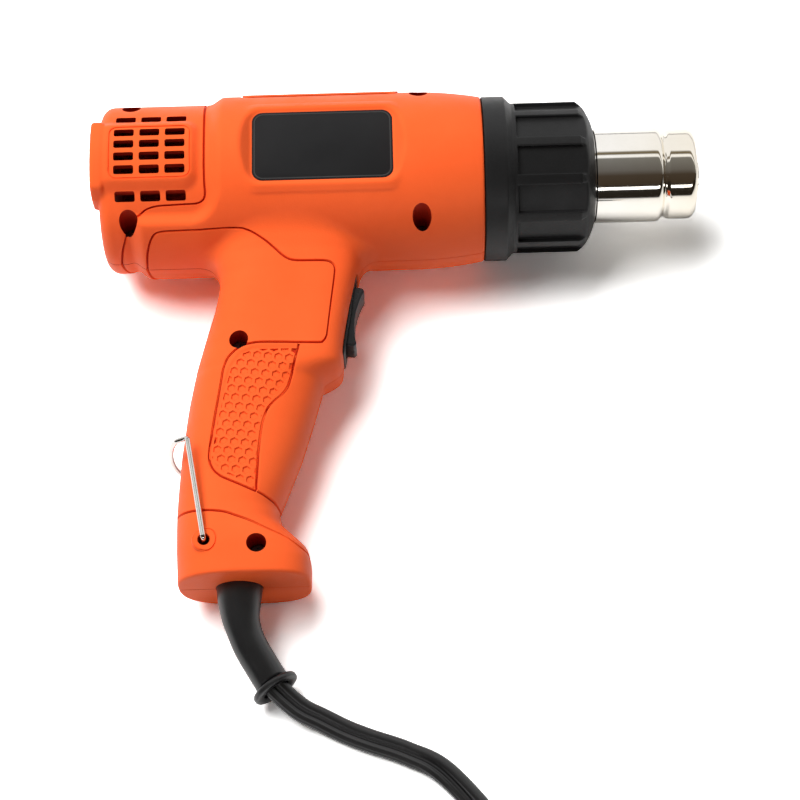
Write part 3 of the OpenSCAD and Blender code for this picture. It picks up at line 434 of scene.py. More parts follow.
def handle_form(x, y, z):
    """Distance to the handle, near enough for soft joins."""
    back, front, half, back_power, front_power = [np.interp(y, handle_y, row) for row in handle_rows]
    mid, reach = (back + front) / 2, (front - back) / 2
    u, v = (x - mid) / reach, np.abs(z) / half
    power = np.where(u < 0, back_power, front_power)
    s = np.maximum(np.abs(u), 1e-6) ** power + np.maximum(v, 1e-6) ** power
    s = np.maximum(s, 1e-9) ** (1 / power)
    side = np.maximum(np.hypot(x - mid, z), 1e-6) * (1 - 1 / s)
    return soft_max(soft_max(side, BASE_Y - y, 1.3), y + 16, 3)


print("handle rows", len(handle_y), "of", len(handle_rows), "sizes each")

# %% [markdown]
# ## Small forms on the skin
# The stand wire turns in a round boss on each side of the base. The right half
# has a flat label field sunk into the barrel, inside a frame that stands a
# little proud, and both sides of the grip have a panel that lies half a
# millimetre lower.

# %% Panel outline and full skin formula
GRIP_PANEL = np.array([
    (-74.6, -80.4), (-75.6, -87.2), (-78, -95.6), (-81, -100), (-85.3, -104.9), (-88, -110),
    (-89.3, -119.2), (-90.4, -138.6), (-96.6, -135.6), (-103.2, -132.6), (-107.3, -128),
    (-108.4, -124.4), (-106.2, -110.5), (-103.6, -98.2), (-101, -88), (-97, -82.2),
    (-91.4, -80.2),
])
STAND_AT = (-110.0, -158.7)
LABEL_X, LABEL_Z = -63.5, 31.4


def outline_distance(x, y, outline):
    """Distance to a closed outline, negative inside it."""
    best = np.full(np.shape(x), 1e9)
    inside = np.zeros(np.shape(x), bool)
    for (ax, ay), (bx, by) in zip(outline, np.roll(outline, -1, axis=0)):
        dx, dy = bx - ax, by - ay
        t = np.clip(((x - ax) * dx + (y - ay) * dy) / (dx**2 + dy**2), 0, 1)
        best = np.minimum(best, (x - ax - t * dx) ** 2 + (y - ay - t * dy) ** 2)
        crosses = (ay > y) != (by > y)
        inside ^= crosses & (x < ax + dx * (y - ay) / (dy if by != ay else 1e-9))
    return np.where(inside, -1, 1) * np.sqrt(best)


def skin(x, y, z, label):
    """The whole skin: barrel, handle, bosses, grip panel and label field."""
    # the barrel flows wider into the handle near the parting line than at the sides
    k = 7.5 - 4.5 * ease((np.abs(z) - 7) / 10)
    f = soft_min(barrel(x, y, z), handle_form(x, y, z), k)
    boss = soft_max(np.hypot(x - STAND_AT[0], y - STAND_AT[1]) - 4.4, np.abs(z) - 19, 0.5)
    f = soft_min(f, boss, 0.7)
    near = (np.abs(z) > 9) & (np.abs(f) < 4) & (y < -78) & (y > -141) & (x > -111) & (x < -72)
    if near.any():
        panel = outline_distance(x[near], y[near], GRIP_PANEL)
        f[near] += 0.5 * ease((0.5 - panel) / 0.9)
    if label:
        rim = round_box(x - LABEL_X, y, 33, 19, 8) + np.maximum(z - 31, -0.5)
        rim = soft_max(soft_max(rim, z - 32.4, 1.0), 24 - z, 1.0)
        f = soft_min(f, rim, 1.4)
        field = round_box(x - LABEL_X, y, 28, 15.5, 4.5) - (z - LABEL_Z)
        f = soft_max(f, -soft_max(LABEL_Z - z, field, 1.2), 1.1)
    return f


def bare_skin(x, y, z):
    return skin(x, y, z, False)


print("grip panel corners", len(GRIP_PANEL))

# %% [markdown]
# ## From formula to mesh
# To mesh a formula, ask for its value on a grid of points. Wherever the sign
# changes inside a grid cell, the skin passes through, and that cell gets one
# mesh point; neighbouring cells are joined by quads. This is a surface net. Its
# points are then evened out and slid along the slope of the formula until they
# lie on the true surface, so the highlights run clean.

# %% Surface net
CORNERS = np.array([(i, j, k) for i in (0, 1) for j in (0, 1) for k in (0, 1)])
PAIRS = [(a, b) for a in range(8) for b in range(a + 1, 8)]
EDGES = [(a, b) for a, b in PAIRS if np.abs(CORNERS[a] - CORNERS[b]).sum() == 1]
SLAB = 32  # grid rows that are worked out at a time


def slope(formula, points, h=0.05):
    """How much the formula grows over 2h along each axis."""
    return np.stack([formula(*(points + h * e).T) - formula(*(points - h * e).T) for e in np.eye(3)], 1)


def slide(points, formula, rounds=2):
    """Newton steps down the slope of the formula."""
    h = 0.05
    for _ in range(rounds):
        f = formula(*points.T)
        g = slope(formula, points, h) / (2 * h)
        move = (f / np.maximum((g * g).sum(1), 0.05))[:, None] * g
        points = points - np.clip(move, -0.5, 0.5)
    return points


def surface_net(formula, low, high, step, even=2):
    """Points and quads where the formula is zero."""
    axes = [np.arange(a, b + step, step) for a, b in zip(low, high)]
    values = np.empty([len(a) for a in axes], np.float32)
    for j in range(0, len(axes[1]), SLAB):
        grid = np.meshgrid(axes[0], axes[1][j : j + SLAB], axes[2], indexing="ij")
        values[:, j : j + SLAB] = formula(*grid)
    # where the signs round a cell face alternate, the net would pinch: flip one
    for axis in (0, 1, 2, 0, 1, 2):
        v = np.moveaxis(values, axis, 0)
        s = v < 0
        a, b, c, d = s[:, :-1, :-1], s[:, 1:, :-1], s[:, :-1, 1:], s[:, 1:, 1:]
        for i, j, k in np.argwhere((a == d) & (b == c) & (a != b)):
            v[i, j, k] = -1e-4 if v[i, j, k] >= 0 else 1e-4
    inside = values < 0
    nx, ny, nz = inside.shape
    corner_in = [inside[i : nx - 1 + i, j : ny - 1 + j, k : nz - 1 + k] for i, j, k in CORNERS]
    count = sum(c.astype(np.int8) for c in corner_in)
    cells = np.argwhere((count > 0) & (count < 8))
    number = np.full(count.shape, -1, np.int32)
    number[tuple(cells.T)] = np.arange(len(cells))
    at = np.stack([values[tuple((cells + c).T)] for c in CORNERS], 1)
    total, hits = np.zeros((len(cells), 3)), np.zeros(len(cells))
    for a, b in EDGES:
        cross = (at[:, a] < 0) != (at[:, b] < 0)
        share = np.where(cross, at[:, a] / np.where(cross, at[:, a] - at[:, b], 1), 0)[:, None]
        total += np.where(cross[:, None], CORNERS[a] + share * (CORNERS[b] - CORNERS[a]), 0)
        hits += cross
    points = np.array(low) + step * (cells + total / hits[:, None])
    quads = []
    for axis in range(3):
        first = np.take(inside, range(inside.shape[axis] - 1), axis)
        second = np.take(inside, range(1, inside.shape[axis]), axis)
        e = np.argwhere(first != second)
        next_1, next_2 = (axis + 1) % 3, (axis + 2) % 3
        u, w = np.eye(3, dtype=int)[[next_1, next_2]]
        off_start = (e @ u > 0) & (e @ w > 0)
        off_end = (e @ u < inside.shape[next_1] - 1) & (e @ w < inside.shape[next_2] - 1)
        e = e[off_start & off_end]
        ring = np.stack([number[tuple((e - d).T)] for d in (0 * u, u, u + w, w)], 1)
        outward = first[tuple(e.T)]
        quads.append(np.where(outward[:, None], ring, ring[:, ::-1]))
    quads = np.vstack(quads)
    for _ in range(even):
        mids, flat, n = points[quads].mean(1), quads.ravel(), len(points)
        share = np.bincount(flat, minlength=n)[:, None]
        pull = np.stack([np.bincount(flat, np.repeat(mids[:, c], 4), n) for c in range(3)], 1)
        points = slide(0.5 * points + 0.5 * pull / np.maximum(share, 1), formula, 1)
    return slide(points, formula), quads


print("a cell has", len(EDGES), "edges")

# %% [markdown]
# ## Cutting the halves
# What a mould pin or a cutter would leave is cut from the soft skin with solid
# tools: screw wells, intake slots, the switch window, the parting line between
# the halves. Blender's Manifold boolean is fast and exact as long as every tool
# is a closed solid, so each tool here is built closed and turned outward.

# %% Solid tools
def solid(name, points, faces):
    """A closed mesh in gun millimetres, with its faces turned outward."""
    mesh = raw_mesh(name, points, faces)
    bm = bmesh.new()
    bm.from_mesh(mesh)
    bmesh.ops.recalc_face_normals(bm, faces=bm.faces)
    if bm.calc_volume(signed=True) < 0:
        bmesh.ops.reverse_faces(bm, faces=bm.faces)
    bm.to_mesh(mesh)
    bm.free()
    return link_new(name, mesh)


def gather(name, parts):
    """Several closed pieces that do not touch, as one tool."""
    points, faces, start = [], [], 0
    for p, f in parts:
        points += [tuple(q) for q in p]
        faces += [tuple(i + start for i in q) for q in f]
        start += len(p)
    return solid(name, points, faces)


def bake(obj):
    """Swap a mesh for the one that its modifiers make of it."""
    seen = obj.evaluated_get(bpy.context.evaluated_depsgraph_get())
    mesh = bpy.data.meshes.new_from_object(seen)
    obj.modifiers.clear()
    old, obj.data = obj.data, mesh
    bpy.data.meshes.remove(old)
    return mesh


def cut(target, tool, how="DIFFERENCE"):
    """Apply one boolean and throw the tool away."""
    step = target.modifiers.new("cut", "BOOLEAN")
    step.operation, step.solver, step.object = how, "MANIFOLD", tool
    before = len(target.data.polygons)
    mesh = bake(target)
    tool_mesh = tool.data
    bpy.data.objects.remove(tool)
    bpy.data.meshes.remove(tool_mesh)
    if len(mesh.polygons) in (0, before):
        print("cut changed nothing on", target.name)


def prism(outline, low, high, turn=None):
    """A flat outline pushed from low to high along z, or along a turned axis."""
    n = len(outline)
    points = [(x, y, low) for x, y in outline] + [(x, y, high) for x, y in outline]
    if turn is not None:
        points = [tuple(turn @ Vector(p)) for p in points]
    return points, ring_faces(2, n)


def turned_z(profile, x, y, sides=40):
    """A profile of (radius, z) turned round an upright axis."""
    points = [(*p, z) for r, z in profile for p in circle(r, sides, x, y)]
    return points, ring_faces(len(profile), sides)


def corner_box(w, h, r, n=5):
    """A rectangle with round corners, as points."""
    out = []
    px, py = w / 2 - r, h / 2 - r
    for cx, cy, a0 in ((px, py, 0), (-px, py, 90), (-px, -py, 180), (px, -py, 270)):
        for i in range(n + 1):
            a = math.radians(a0 + 90 * i / n)
            out.append((cx + r * math.cos(a), cy + r * math.sin(a)))
    return out


def circle(r, n, x=0, y=0):
    """A circle, as points."""
    return [(x + r * math.cos(a), y + r * math.sin(a)) for a in full_turn(n)]


def shifted(outline, x, y):
    return [(a + x, b + y) for a, b in outline]


print("a slot has", len(corner_box(7.9, 3.4, 0.8)), "corner points")

# %% Finishing a piece
def finish_piece(obj, body, slot, *nodes, angle=34, place=LAY):
    """Lay a piece on the table, shade it, hang it on its body and hide the CAD pieces it stands in for."""
    obj.data.transform(place)
    obj.data.shade_smooth()
    obj.data.set_sharp_from_angle(angle=math.radians(angle))
    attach(obj, body)
    if nodes:
        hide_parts(*nodes)
    print(obj.name, len(obj.data.polygons), "faces")


def soften(obj, width, steps=3, angle=30):
    """Round the edges with a bevel, so that they catch the light."""
    mod = obj.modifiers.new("bevel", "BEVEL")
    mod.width, mod.segments = width, steps
    mod.limit_method, mod.angle_limit = "ANGLE", math.radians(angle)
    mod.harden_normals = False
    bake(obj)


print("pieces are laid with a tilt of", round(math.degrees(TILT), 2), "degrees")

# %% [markdown]
# ## Where the tools go
# Six screws hold the halves: four in the barrel and two in the handle. The
# slots sit in three columns, four rows on the pad and one on either side of it.

# %% Wells, slots and windows
SCREWS = [(-25, 28), (-25, -28), (-140.5, 25), (-140.5, -26.2), (-97.4, -76.5), (-90.4, -160.8)]
SLOT_ROWS = [PAD_Y + y for y in (16.7, 8.03, 2.68, -2.68, -8.03, -16.7)]
SLOT_X = [-145.5 + 10.05 * column + 3.95 for column in range(3)]
TO_X = Matrix.Rotation(QUARTER, 4, "Y")
TO_Y = Matrix.Rotation(-QUARTER, 4, "X")
TO_Z = Matrix.Rotation(QUARTER, 4, "Z")
SWITCH = Matrix.Translation((-55, -62.5, 0)) @ Matrix.Rotation(math.radians(-8.8), 4, "Z")
UPRIGHT = SWITCH @ TO_X @ TO_Z
PIVOT_HOLE = [(1.25, -1), (1.25, 15.4), (2.1, 15.6), (2.2, 18.6), (2.5, 19.2), (2.6, 30)]


def slot_tools():
    slot = corner_box(7.9, 3.4, 0.8)
    return [prism(shifted(slot, x, y), 20.5, 45) for x in SLOT_X for y in SLOT_ROWS]


def opening_tools():
    front = prism(circle(30.7, 96), -5, 3, TO_X)
    cord_way = prism(circle(8.95, 96, CORD_X), -177, -167, TO_Y)
    seat = prism(corner_box(35.4, 17.4, 1.5), -0.4, 30, UPRIGHT)
    return [front, cord_way, turned_z(PIVOT_HOLE, *STAND_AT), seat]


def window_tool():
    return prism(corner_box(32.0, 15.4, 0.6), -14, 8, UPRIGHT)


print(len(slot_tools()), "slots and", len(SCREWS), "wells")

# %% [markdown]
# ## Grooves
# Fine grooves draw panels on the real housing, so that the two plastics of a
# costlier tool are suggested with one. Each is a narrow, deep tool drawn through
# points read from the picture and pulled onto the skin with the same formula.
# Two finer ones run in a loop: a frame on the pad and a ring round the pivot of
# the stand.

# %% Groove routes
GROOVE_DEEP = 1.9  # times its half width


def round_headings(loop):
    """Unit directions along a closed line."""
    return unit(np.roll(loop, -1, 0) - np.roll(loop, 1, 0))


def on_skin(points):
    return slide(np.asarray(points, float), bare_skin, 12)


def groove(points, r=0.55, per=6, loop=False, sides=10):
    """A narrow, deep tool that follows the skin through these points."""
    p = np.asarray(points, float)
    if loop:
        line = on_skin(smooth_line(np.vstack([p[-1:], p, p[:2]]), per)[per : -per - 1])
    else:
        line = on_skin(smooth_line(p, per))
    t = round_headings(line) if loop else headings(line)
    n = slope(bare_skin, line)
    n = unit(n - (n * t).sum(1, keepdims=True) * t)
    a = full_turn(sides)
    section = r * np.column_stack([GROOVE_DEEP * np.cos(a), np.sin(a)])
    return swept(line, n, np.cross(t, n), section), ring_faces(len(line), sides, closed=loop)


REAR_GROOVE = [
    (-110.4, 33, -3), (-110.4, 31, 11), (-110.6, 22.2, 24.4), (-110.3, 13.9, 29.9),
    (-110.1, 3.1, 32.8), (-110.1, -13.4, 30.1), (-109.9, -17.3, 28), (-110.3, -19.4, 26.7),
    (-111.6, -20.6, 25.7), (-113.9, -21.2, 25.2), (-118, -21.3, 25.1), (-124, -21.5, 25),
    (-128, -21.6, 24.9), (-131, -22, 24.6), (-133.5, -22.7, 24), (-135.3, -23.7, 23.2),
    (-137.4, -25.2, 22.4),
]
REAR_LOWER = [
    (-140.9, -27.6, 18.6), (-142.6, -31, 14.1), (-144, -32.8, 10), (-144.9, -33.9, 5.2),
    (-145.5, -34.3, 0), (-145.5, -34, -5),
]
PANEL_GROOVE = [
    (-135.2, -36.4, -5), (-135.3, -36.8, 0), (-135.1, -36.8, 3.2), (-134.4, -35.8, 9.2),
    (-133.3, -34.1, 14.1), (-132, -32.6, 17.5), (-130.4, -31.3, 19.6), (-128.2, -30.8, 20.4),
    (-124.2, -30.7, 20.7), (-112.4, -30.5, 20.8), (-97.9, -29.9, 20.4), (-94.4, -30.6, 20.3),
    (-91.2, -32.2, 20.2), (-86.9, -35.3, 19.9), (-83, -38.8, 19.4), (-80.7, -41.1, 19.2),
    (-78.4, -42.9, 19.1), (-76, -43.8, 19), (-72.5, -44.1, 18.9), (-65.5, -44.1, 18.6),
    (-62.4, -44.3, 18.2), (-60.6, -45.3, 17.8), (-59.7, -47.2, 17.5), (-59.9, -50.6, 17.4),
    (-60.8, -57.5, 17.2), (-61.9, -65.9, 16.9), (-62.8, -73, 16.6), (-63.3, -75.8, 16.5),
    (-64.4, -77.7, 16.7), (-66.1, -78.7, 17.1), (-73.6, -78.8, 17.9), (-81.3, -78.5, 18),
    (-88.3, -78.3, 17.9), (-91.6, -78.4, 17.7),
]
GRIP_GROOVE = [
    (-91, -78.4, 17.8), (-92.6, -78.6, 17.8), (-95.5, -79.2, 17.5), (-98.2, -80.7, 17.1),
    (-100.7, -82.9, 16.6), (-102.3, -85.4, 16.3), (-103.4, -89, 16.3), (-104, -93, 16.4),
    (-105.2, -100.8, 16.5), (-106.7, -109.9, 16.5), (-107.8, -118.1, 16.6),
    (-108.4, -124.6, 16.5), (-108, -127.8, 17), (-106.5, -130.8, 17.4), (-103.8, -133.3, 17.8),
    (-100.4, -135.1, 17.9), (-96.6, -136.8, 17.8), (-92.9, -138.4, 17.1), (-90.6, -139.2, 16.1),
]
FRONT_GROOVE = [
    (-74.1, -79.6, 17.8), (-75.2, -84.1, 17.5), (-76.3, -88.2, 16.9), (-77.4, -93, 15.9),
    (-78.7, -96.8, 16.1), (-81, -100.1, 16.5), (-83.8, -102.9, 16.8), (-86.1, -105.7, 17),
    (-87.5, -109.1, 17.3), (-88.4, -112.8, 17.2), (-89.3, -118.9, 17.2), (-89.8, -124.8, 16.8),
    (-90.2, -130.8, 16.5), (-90.6, -137.4, 15.9), (-90.2, -139.1, 15.9), (-88.3, -140, 14.9),
    (-86.3, -140.9, 13), (-84.3, -141.7, 10.1), (-83, -142.5, 6.7), (-82.4, -142.9, 2.9),
    (-82.4, -143, -4),
]
BASE_GROOVE = [
    (-122, -145.6, -4), (-121.8, -145.6, 2), (-120.9, -145.7, 7), (-118.5, -145.9, 11.7),
    (-115.6, -146.1, 14.7), (-111.6, -146.5, 16.8), (-107, -147, 18), (-102.1, -147.9, 18.4),
    (-98.4, -149.3, 18.5), (-92.8, -151.5, 18.4), (-87.2, -154.3, 18), (-81.7, -156.8, 17),
    (-77.3, -159.3, 15.8), (-74.5, -161, 13.8), (-72.4, -162, 10.7), (-71.3, -162.4, 6),
    (-71, -162.5, 0), (-71, -162.5, -4),
]
TOP_GROOVE = [
    (-96.5, 36, -3), (-96.5, 35.6, 5), (-96.5, 31.4, 17.6), (-95.4, 28.6, 21.8),
    (-92.5, 27.9, 22.7), (-80, 27.9, 22.7), (-60, 27.9, 22.7), (-42, 27.9, 22.7),
    (-36, 27.9, 22.7), (-34, 28.6, 21.8), (-33, 31.4, 17.6), (-33, 35.6, 5), (-33, 36, -3),
]
pad_frame = np.array(corner_box(32.4, 22.4, 3.2, 4))
pad_frame = np.vstack([pad_frame, pad_frame[:1]])
run = np.concatenate([[0], np.cumsum(np.hypot(*np.diff(pad_frame, axis=0).T))])
steps = np.linspace(0, run[-1], 56, endpoint=False)
even_x, even_y = [np.interp(steps, run, side) for side in pad_frame.T]
pad_line = [(PAD_MID + x, PAD_Y + y, CAP_R) for x, y in zip(even_x, even_y)]
boss_line = [(x, y, 19) for x, y in circle(4.7, 24, *STAND_AT)]
grooves_a = [groove(pad_line, 0.26, 3, True), groove(boss_line, 0.3, 3, True)]
grooves_a += [groove(r) for r in (REAR_GROOVE, REAR_LOWER, PANEL_GROOVE, BASE_GROOVE, TOP_GROOVE)]
grooves_b = [groove(r) for r in (GRIP_GROOVE, FRONT_GROOVE)]
print("grooves use", sum(len(p) for p, f in grooves_a + grooves_b), "points")

# %% [markdown]
# ## Honeycomb in the grip panel
# The panel is full of shallow hexagonal pits, 4.1 mm apart, in rows that slope
# a little. Each pit is a small six-sided plug stood on the local slope of the
# skin; plugs that would run past the panel's edge are trimmed to it first.

# %% Pit tools
PIT_PITCH, PIT_ROW, PIT_SLOPE = 4.12, 3.66, math.radians(-7.35)
PIT_START = np.array((-94.25, -82.99))
PIT_LEVELS = ((-0.7, 1.35), (0.7, 2.25))  # height from the skin, radius


def pit_tools():
    along = np.array((math.cos(PIT_SLOPE), math.sin(PIT_SLOPE)))
    down = np.array((math.sin(PIT_SLOPE), -math.cos(PIT_SLOPE)))
    centres = []
    for row in range(-2, 18):
        for i in range(-9, 9):
            across = along * PIT_PITCH * (i - 0.5 * (row % 2))
            centres.append(PIT_START + across + down * PIT_ROW * row)
    centres = np.array(centres)
    centres = centres[outline_distance(centres[:, 0], centres[:, 1], GRIP_PANEL) < 0.6]
    spots = on_skin(np.column_stack([centres, np.full(len(centres), 17.5)]))
    tools = []
    for spot, n in zip(spots, unit(slope(bare_skin, spots, 0.4))):
        u = unit(np.array((*along, 0)) - n * (n[:2] @ along))
        v = np.cross(n, u)
        points = []
        for level, size in PIT_LEVELS:
            for a in np.radians(np.arange(30, 390, 60)):
                points.append(spot + level * n + size * (math.cos(a) * u + math.sin(a) * v))
        tools.append((points, ring_faces(2, 6)))
    return tools


def panel_tool():
    """The grip panel, drawn in a little all round."""
    t = round_headings(GRIP_PANEL)
    inward = np.column_stack([t[:, 1], -t[:, 0]])
    if outline_distance(*(GRIP_PANEL[:1] + 0.2 * inward[:1]).T, GRIP_PANEL)[0] > 0:
        inward = -inward
    return prism([tuple(p) for p in GRIP_PANEL + 0.9 * inward], 2, 30)


print(len(pit_tools()), "pits")

# %% [markdown]
# ## Build both halves
# Each half is meshed once from the formula, closed at the parting plane,
# hollowed with a coarser copy of itself 2.6 mm further in that leaves the
# screw posts standing, and then cut. The left half has no label field and no
# wells, because the screws go in from the right. Faces that lie well below the
# skin, in slots and wells, are noted down for a darker orange: painted shade.

# %% Make the halves
SKIN_STEP = 0.7
GRID_LOW, GRID_HIGH = (-161, -174.6, -2.9), (1.5, 38.1, 37.5)
WALL, PART_GAP, DEEP = 2.6, 0.15, 0.8
KEEP = [(-200, -200), (50, -200), (50, 80), (-200, 80)]
WELL = [(1.8, -1), (1.8, 6), (3.75, 6), (3.75, 50)]
PILOT = [(1.6, -1), (1.6, 12)]
painted_shade_faces = {}


def build_half(name, node, right):
    """One half of the housing, cut from the skin's formula."""
    formula = lambda x, y, z: np.maximum(skin(x, y, z, right), -1.4 - z)
    hollow = lambda x, y, z: np.maximum(skin(x, y, z, right) + WALL, -1.9 - z)
    half = solid(name, *surface_net(formula, GRID_LOW, GRID_HIGH, SKIN_STEP))
    inner = solid("hollow", *surface_net(hollow, GRID_LOW, GRID_HIGH, 1.7, even=1))
    cut(half, solid("keep", *prism(KEEP, PART_GAP, 60)), "INTERSECT")
    cut(inner, gather("posts", [turned_z([(5.2, -9), (5.2, 60)], *at) for at in SCREWS]))
    cut(half, inner)
    tools = slot_tools() + opening_tools()
    tools += [turned_z(WELL if right else PILOT, *at) for at in SCREWS]
    cut(half, gather("tools", tools))
    cut(half, solid("window", *window_tool()))
    cut(half, gather("grooves", grooves_a))
    for route in grooves_b:
        cut(half, solid("groove", *route))
    pits = gather("pits", pit_tools())
    cut(pits, solid("panel", *panel_tool()), "INTERSECT")
    cut(half, pits)
    # faces well below the skin are marked for the darker orange, which is painted shade
    middles = np.array([p.center for p in half.data.polygons])
    painted_shade_faces[name] = (skin(*middles.T, right) < -DEEP).astype(np.int32)
    if not right:
        half.data.transform(Matrix.Scale(-1, 4, (0, 0, 1)))
        half.data.flip_normals()
    finish_piece(half, "gun", "orange_plastic", node, angle=42)
    return half


shell_right = build_half("shell_right", "housing_right", True)
shell_left = build_half("shell_left", "housing_left", False)

# %% [markdown]
# ## Label field
# The real tool carries a printed label sunk in the right half. Here the field
# stays bare: a dark plate with a thin grey edge, and nothing written on it.

# %% Label plate and its edge line
def label_slab(name, w, h, r, low, high):
    return solid(name, *prism(shifted(corner_box(w, h, r, 10), LABEL_X, 0), low, high))


label = label_slab("label_plate", 55.6, 30.6, 4.3, 31.42, 31.75)
soften(label, 0.1, 2)
finish_piece(label, "gun", "black_plastic")
edge_line = label_slab("label_edge", 54.2, 29.2, 3.7, 31.6, 31.80)
cut(edge_line, label_slab("middle", 53.2, 28.2, 3.3, 31, 33))
finish_piece(edge_line, "gun", "black_plastic")

# %% [markdown]
# ## Collar
# The black collar is heat-proof plastic, turned in outline, with twelve flat
# pockets moulded between its ribs for grip, open towards the nozzle. Its section
# is an outline in x and radius; the pockets are flat-bottomed boxes repeated
# every 30 degrees, which a formula gets for nothing by folding the angle.

# %% Collar formula and mesh
COLLAR_LINE = np.array([
    (-8.6, 24.8), (-8.6, 26.6), (0.7, 26.6), (0.7, 32.9), (8.9, 32.9), (11.3, 30.5),
    (11.9, 29.9), (12.5, 30.0), (38.2, 30.0), (40.2, 28.4), (41.6, 26.6), (42.9, 24.2),
    (43.8, 22.2), (44.5, 19.9), (41.5, 19.9), (40.6, 22.4), (38, 25), (36, 25.6), (9, 25.6),
    (6, 24.8),
])
STEP_ANGLE = math.radians(30)
COLLAR_STEP = 0.5


def collar_form(x, y, z):
    """Distance to the collar with its pockets."""
    r = np.hypot(y, z)
    f = outline_distance(x, r, COLLAR_LINE) - 0.4
    fold = np.mod(np.arctan2(y, z), STEP_ANGLE) - STEP_ANGLE / 2
    height, aside = r * np.cos(fold), r * np.sin(fold)
    pocket = soft_max(27.9 - height, np.abs(aside) - 5.8, 0.4)
    pocket = soft_max(pocket, np.abs(x - 31.5) - 18, 0.4)
    return soft_max(f, -pocket, 0.5)


collar_net = surface_net(collar_form, (-9.6, -34.2, -34.2), (45.8, 34.2, 34.2), COLLAR_STEP)
collar = solid("collar", *collar_net)
finish_piece(collar, "gun", "black_plastic", "front_collar", angle=50)

# %% [markdown]
# ## Nozzle
# The nozzle is thin steel tube, spun on a lathe: a straight seat for slip-on
# nozzles, one rolled groove that stops them, and a tip whose edge is rolled in
# over a pressed guard. A lathe in Blender is a row of rings.

# %% Turn the nozzle
def lathe_x(name, profile, sides=160):
    """Turn a closed outline of (x, radius) round the barrel's axis."""
    points = [(x, *p) for x, r in profile for p in circle(r, sides)]
    return solid(name, points, ring_faces(len(profile), sides, closed=True))


# (x, radius): rings near the ends of a straight part keep its reflections straight
SEAT = [(-30, 24), (-28.5, 24), (-28.4, 18.5), (45.2, 18.5), (45.5, 18.9), (45.9, 19), (46.3, 19),
        (57, 19), (69, 19)]
ROLLED = [(69.4, 19), (70.6, 18.9), (71.6, 18.4), (72.6, 17.5), (73.4, 17.1), (74.2, 17.5),
          (75.1, 18.0), (76, 18.1), (77, 18.1)]
TIP = [(82.4, 18.1), (83.6, 18.0), (84.7, 17.5), (85.5, 16.8), (85.9, 16.1), (86, 15.8)]
BORE = [(85.6, 15.4), (84.4, 16.4), (82.6, 17.3), (75.5, 17.3), (73.4, 16.4), (71, 18.1),
        (46.3, 18.1), (46.2, 17.7), (-30, 17.7)]
outside = SEAT + list(smooth_line(ROLLED, 6)) + [(77.4, 18.1), (82, 18.1)] + list(smooth_line(TIP, 6))
nozzle = lathe_x("nozzle", outside + BORE)
finish_piece(nozzle, "gun", "nozzle_steel", "nozzle_tube", angle=40)

# %% Press the slotted guard
GUARD_R, GUARD_X, GUARD_T, DOME = 14.8, 85.4, 0.8, 3.1
dome = [(GUARD_X + DOME * (1 - (r / GUARD_R) ** 2), max(r, 0.02)) for r in np.linspace(GUARD_R, 0, 22)]
guard = lathe_x("guard", dome + [(x - GUARD_T, r) for x, r in dome[::-1]], 128)
holes = []
for i in range(8):
    span = np.radians(np.linspace(45 * i + 6, 45 * i + 39, 12))
    there = [(13.2 * math.cos(a), 13.2 * math.sin(a)) for a in span]
    back = [(10.2 * math.cos(a), 10.2 * math.sin(a)) for a in span[::-1]]
    holes.append(there + back)
for x, y in circle(4.9, 6):
    holes.append(circle(1.8, 20, x, y))
cut(guard, gather("holes", [prism(hole, 80, 92, TO_X) for hole in holes]))
finish_piece(guard, "gun", "nozzle_steel", "nozzle_guard", angle=40)

# %% [markdown]
# ## Switch
# A panel switch snaps into the handle's front: a thin flange round a window,
# and a rocker with a dished face that a finger tips up or down. The rocker is
# its own body, because it turns on its pin.

# %% Flange and rocker
flange = solid("switch_flange", *prism(corner_box(34.6, 16.8, 1.6), -0.3, 0.85))
soften(flange, 0.5, 3)
case = solid("case", *prism(corner_box(31.6, 15, 0.8), -20, 0.2))
cut(flange, case, "UNION")
cut(flange, solid("well", *prism(corner_box(29.2, 12.6, 0.5), -17, 6)))
flange.data.transform(UPRIGHT)
finish_piece(flange, "gun", "switch_plastic", "switch_body")

ROCKER_LEN, ROCKER_OUT, SINK = 25.4, 5.2, 2.6
half_len = ROCKER_LEN / 2
dish_r = (half_len**2 + SINK**2) / (2 * SINK)
face = []
for y in np.linspace(-half_len + 1.2, half_len - 1.2, 25):
    face.append((ROCKER_OUT - SINK + dish_r - math.sqrt(dish_r**2 - y * y), y))
profile = [(3.9, -half_len), (-0.5, -half_len), (-8.5, -4.8), (-8.5, 4.8), (-0.5, half_len),
           (3.9, half_len)]
rocker = solid("rocker", *prism(face[::-1] + profile, -6, 6))
soften(rocker, 0.45, 3, 25)
rocker.data.transform(SWITCH)
finish_piece(rocker, "rocker", "switch_plastic", "switch_rocker")

# %% [markdown]
# ## Wire stand
# A bent steel wire hangs in the two bosses of the base. It swings out to hold
# the gun nozzle up, or to hang it from a hook. At rest its legs lie along the
# handle and its bow stands off the handle's back. The wire is one swept tube.

# %% Bend the wire
WIRE_R, LEG_Z, LEG, BEND, BOW = 1.02, 20.45, 41, 1.35, 8
leg_dir = np.array((-6.4, 40.6, 0)) / math.hypot(6.4, 40.6)
bow_dir = np.array((-leg_dir[1], leg_dir[0], 0))
pivot = np.array((STAND_AT[0], STAND_AT[1], LEG_Z))
leg_top = pivot + LEG * leg_dir
half_wire = [pivot + (0, 0, z) for z in (-7.4, -4, -2.2)]
for a in np.radians(np.linspace(0, 90, 7)):
    half_wire.append(pivot + BEND * (1 - math.cos(a)) * leg_dir - (0, 0, BEND * (1 - math.sin(a))))
half_wire += [pivot + f * LEG * leg_dir for f in (0.15, 0.3, 0.5, 0.7, 0.85)]
for a in np.radians(np.linspace(0, 60, 5)):
    inward = BEND * (1 - math.cos(a)) * 0.7 * (bow_dir - (0, 0, 1))
    half_wire.append(leg_top - BEND * (1 - math.sin(a)) * leg_dir + inward)
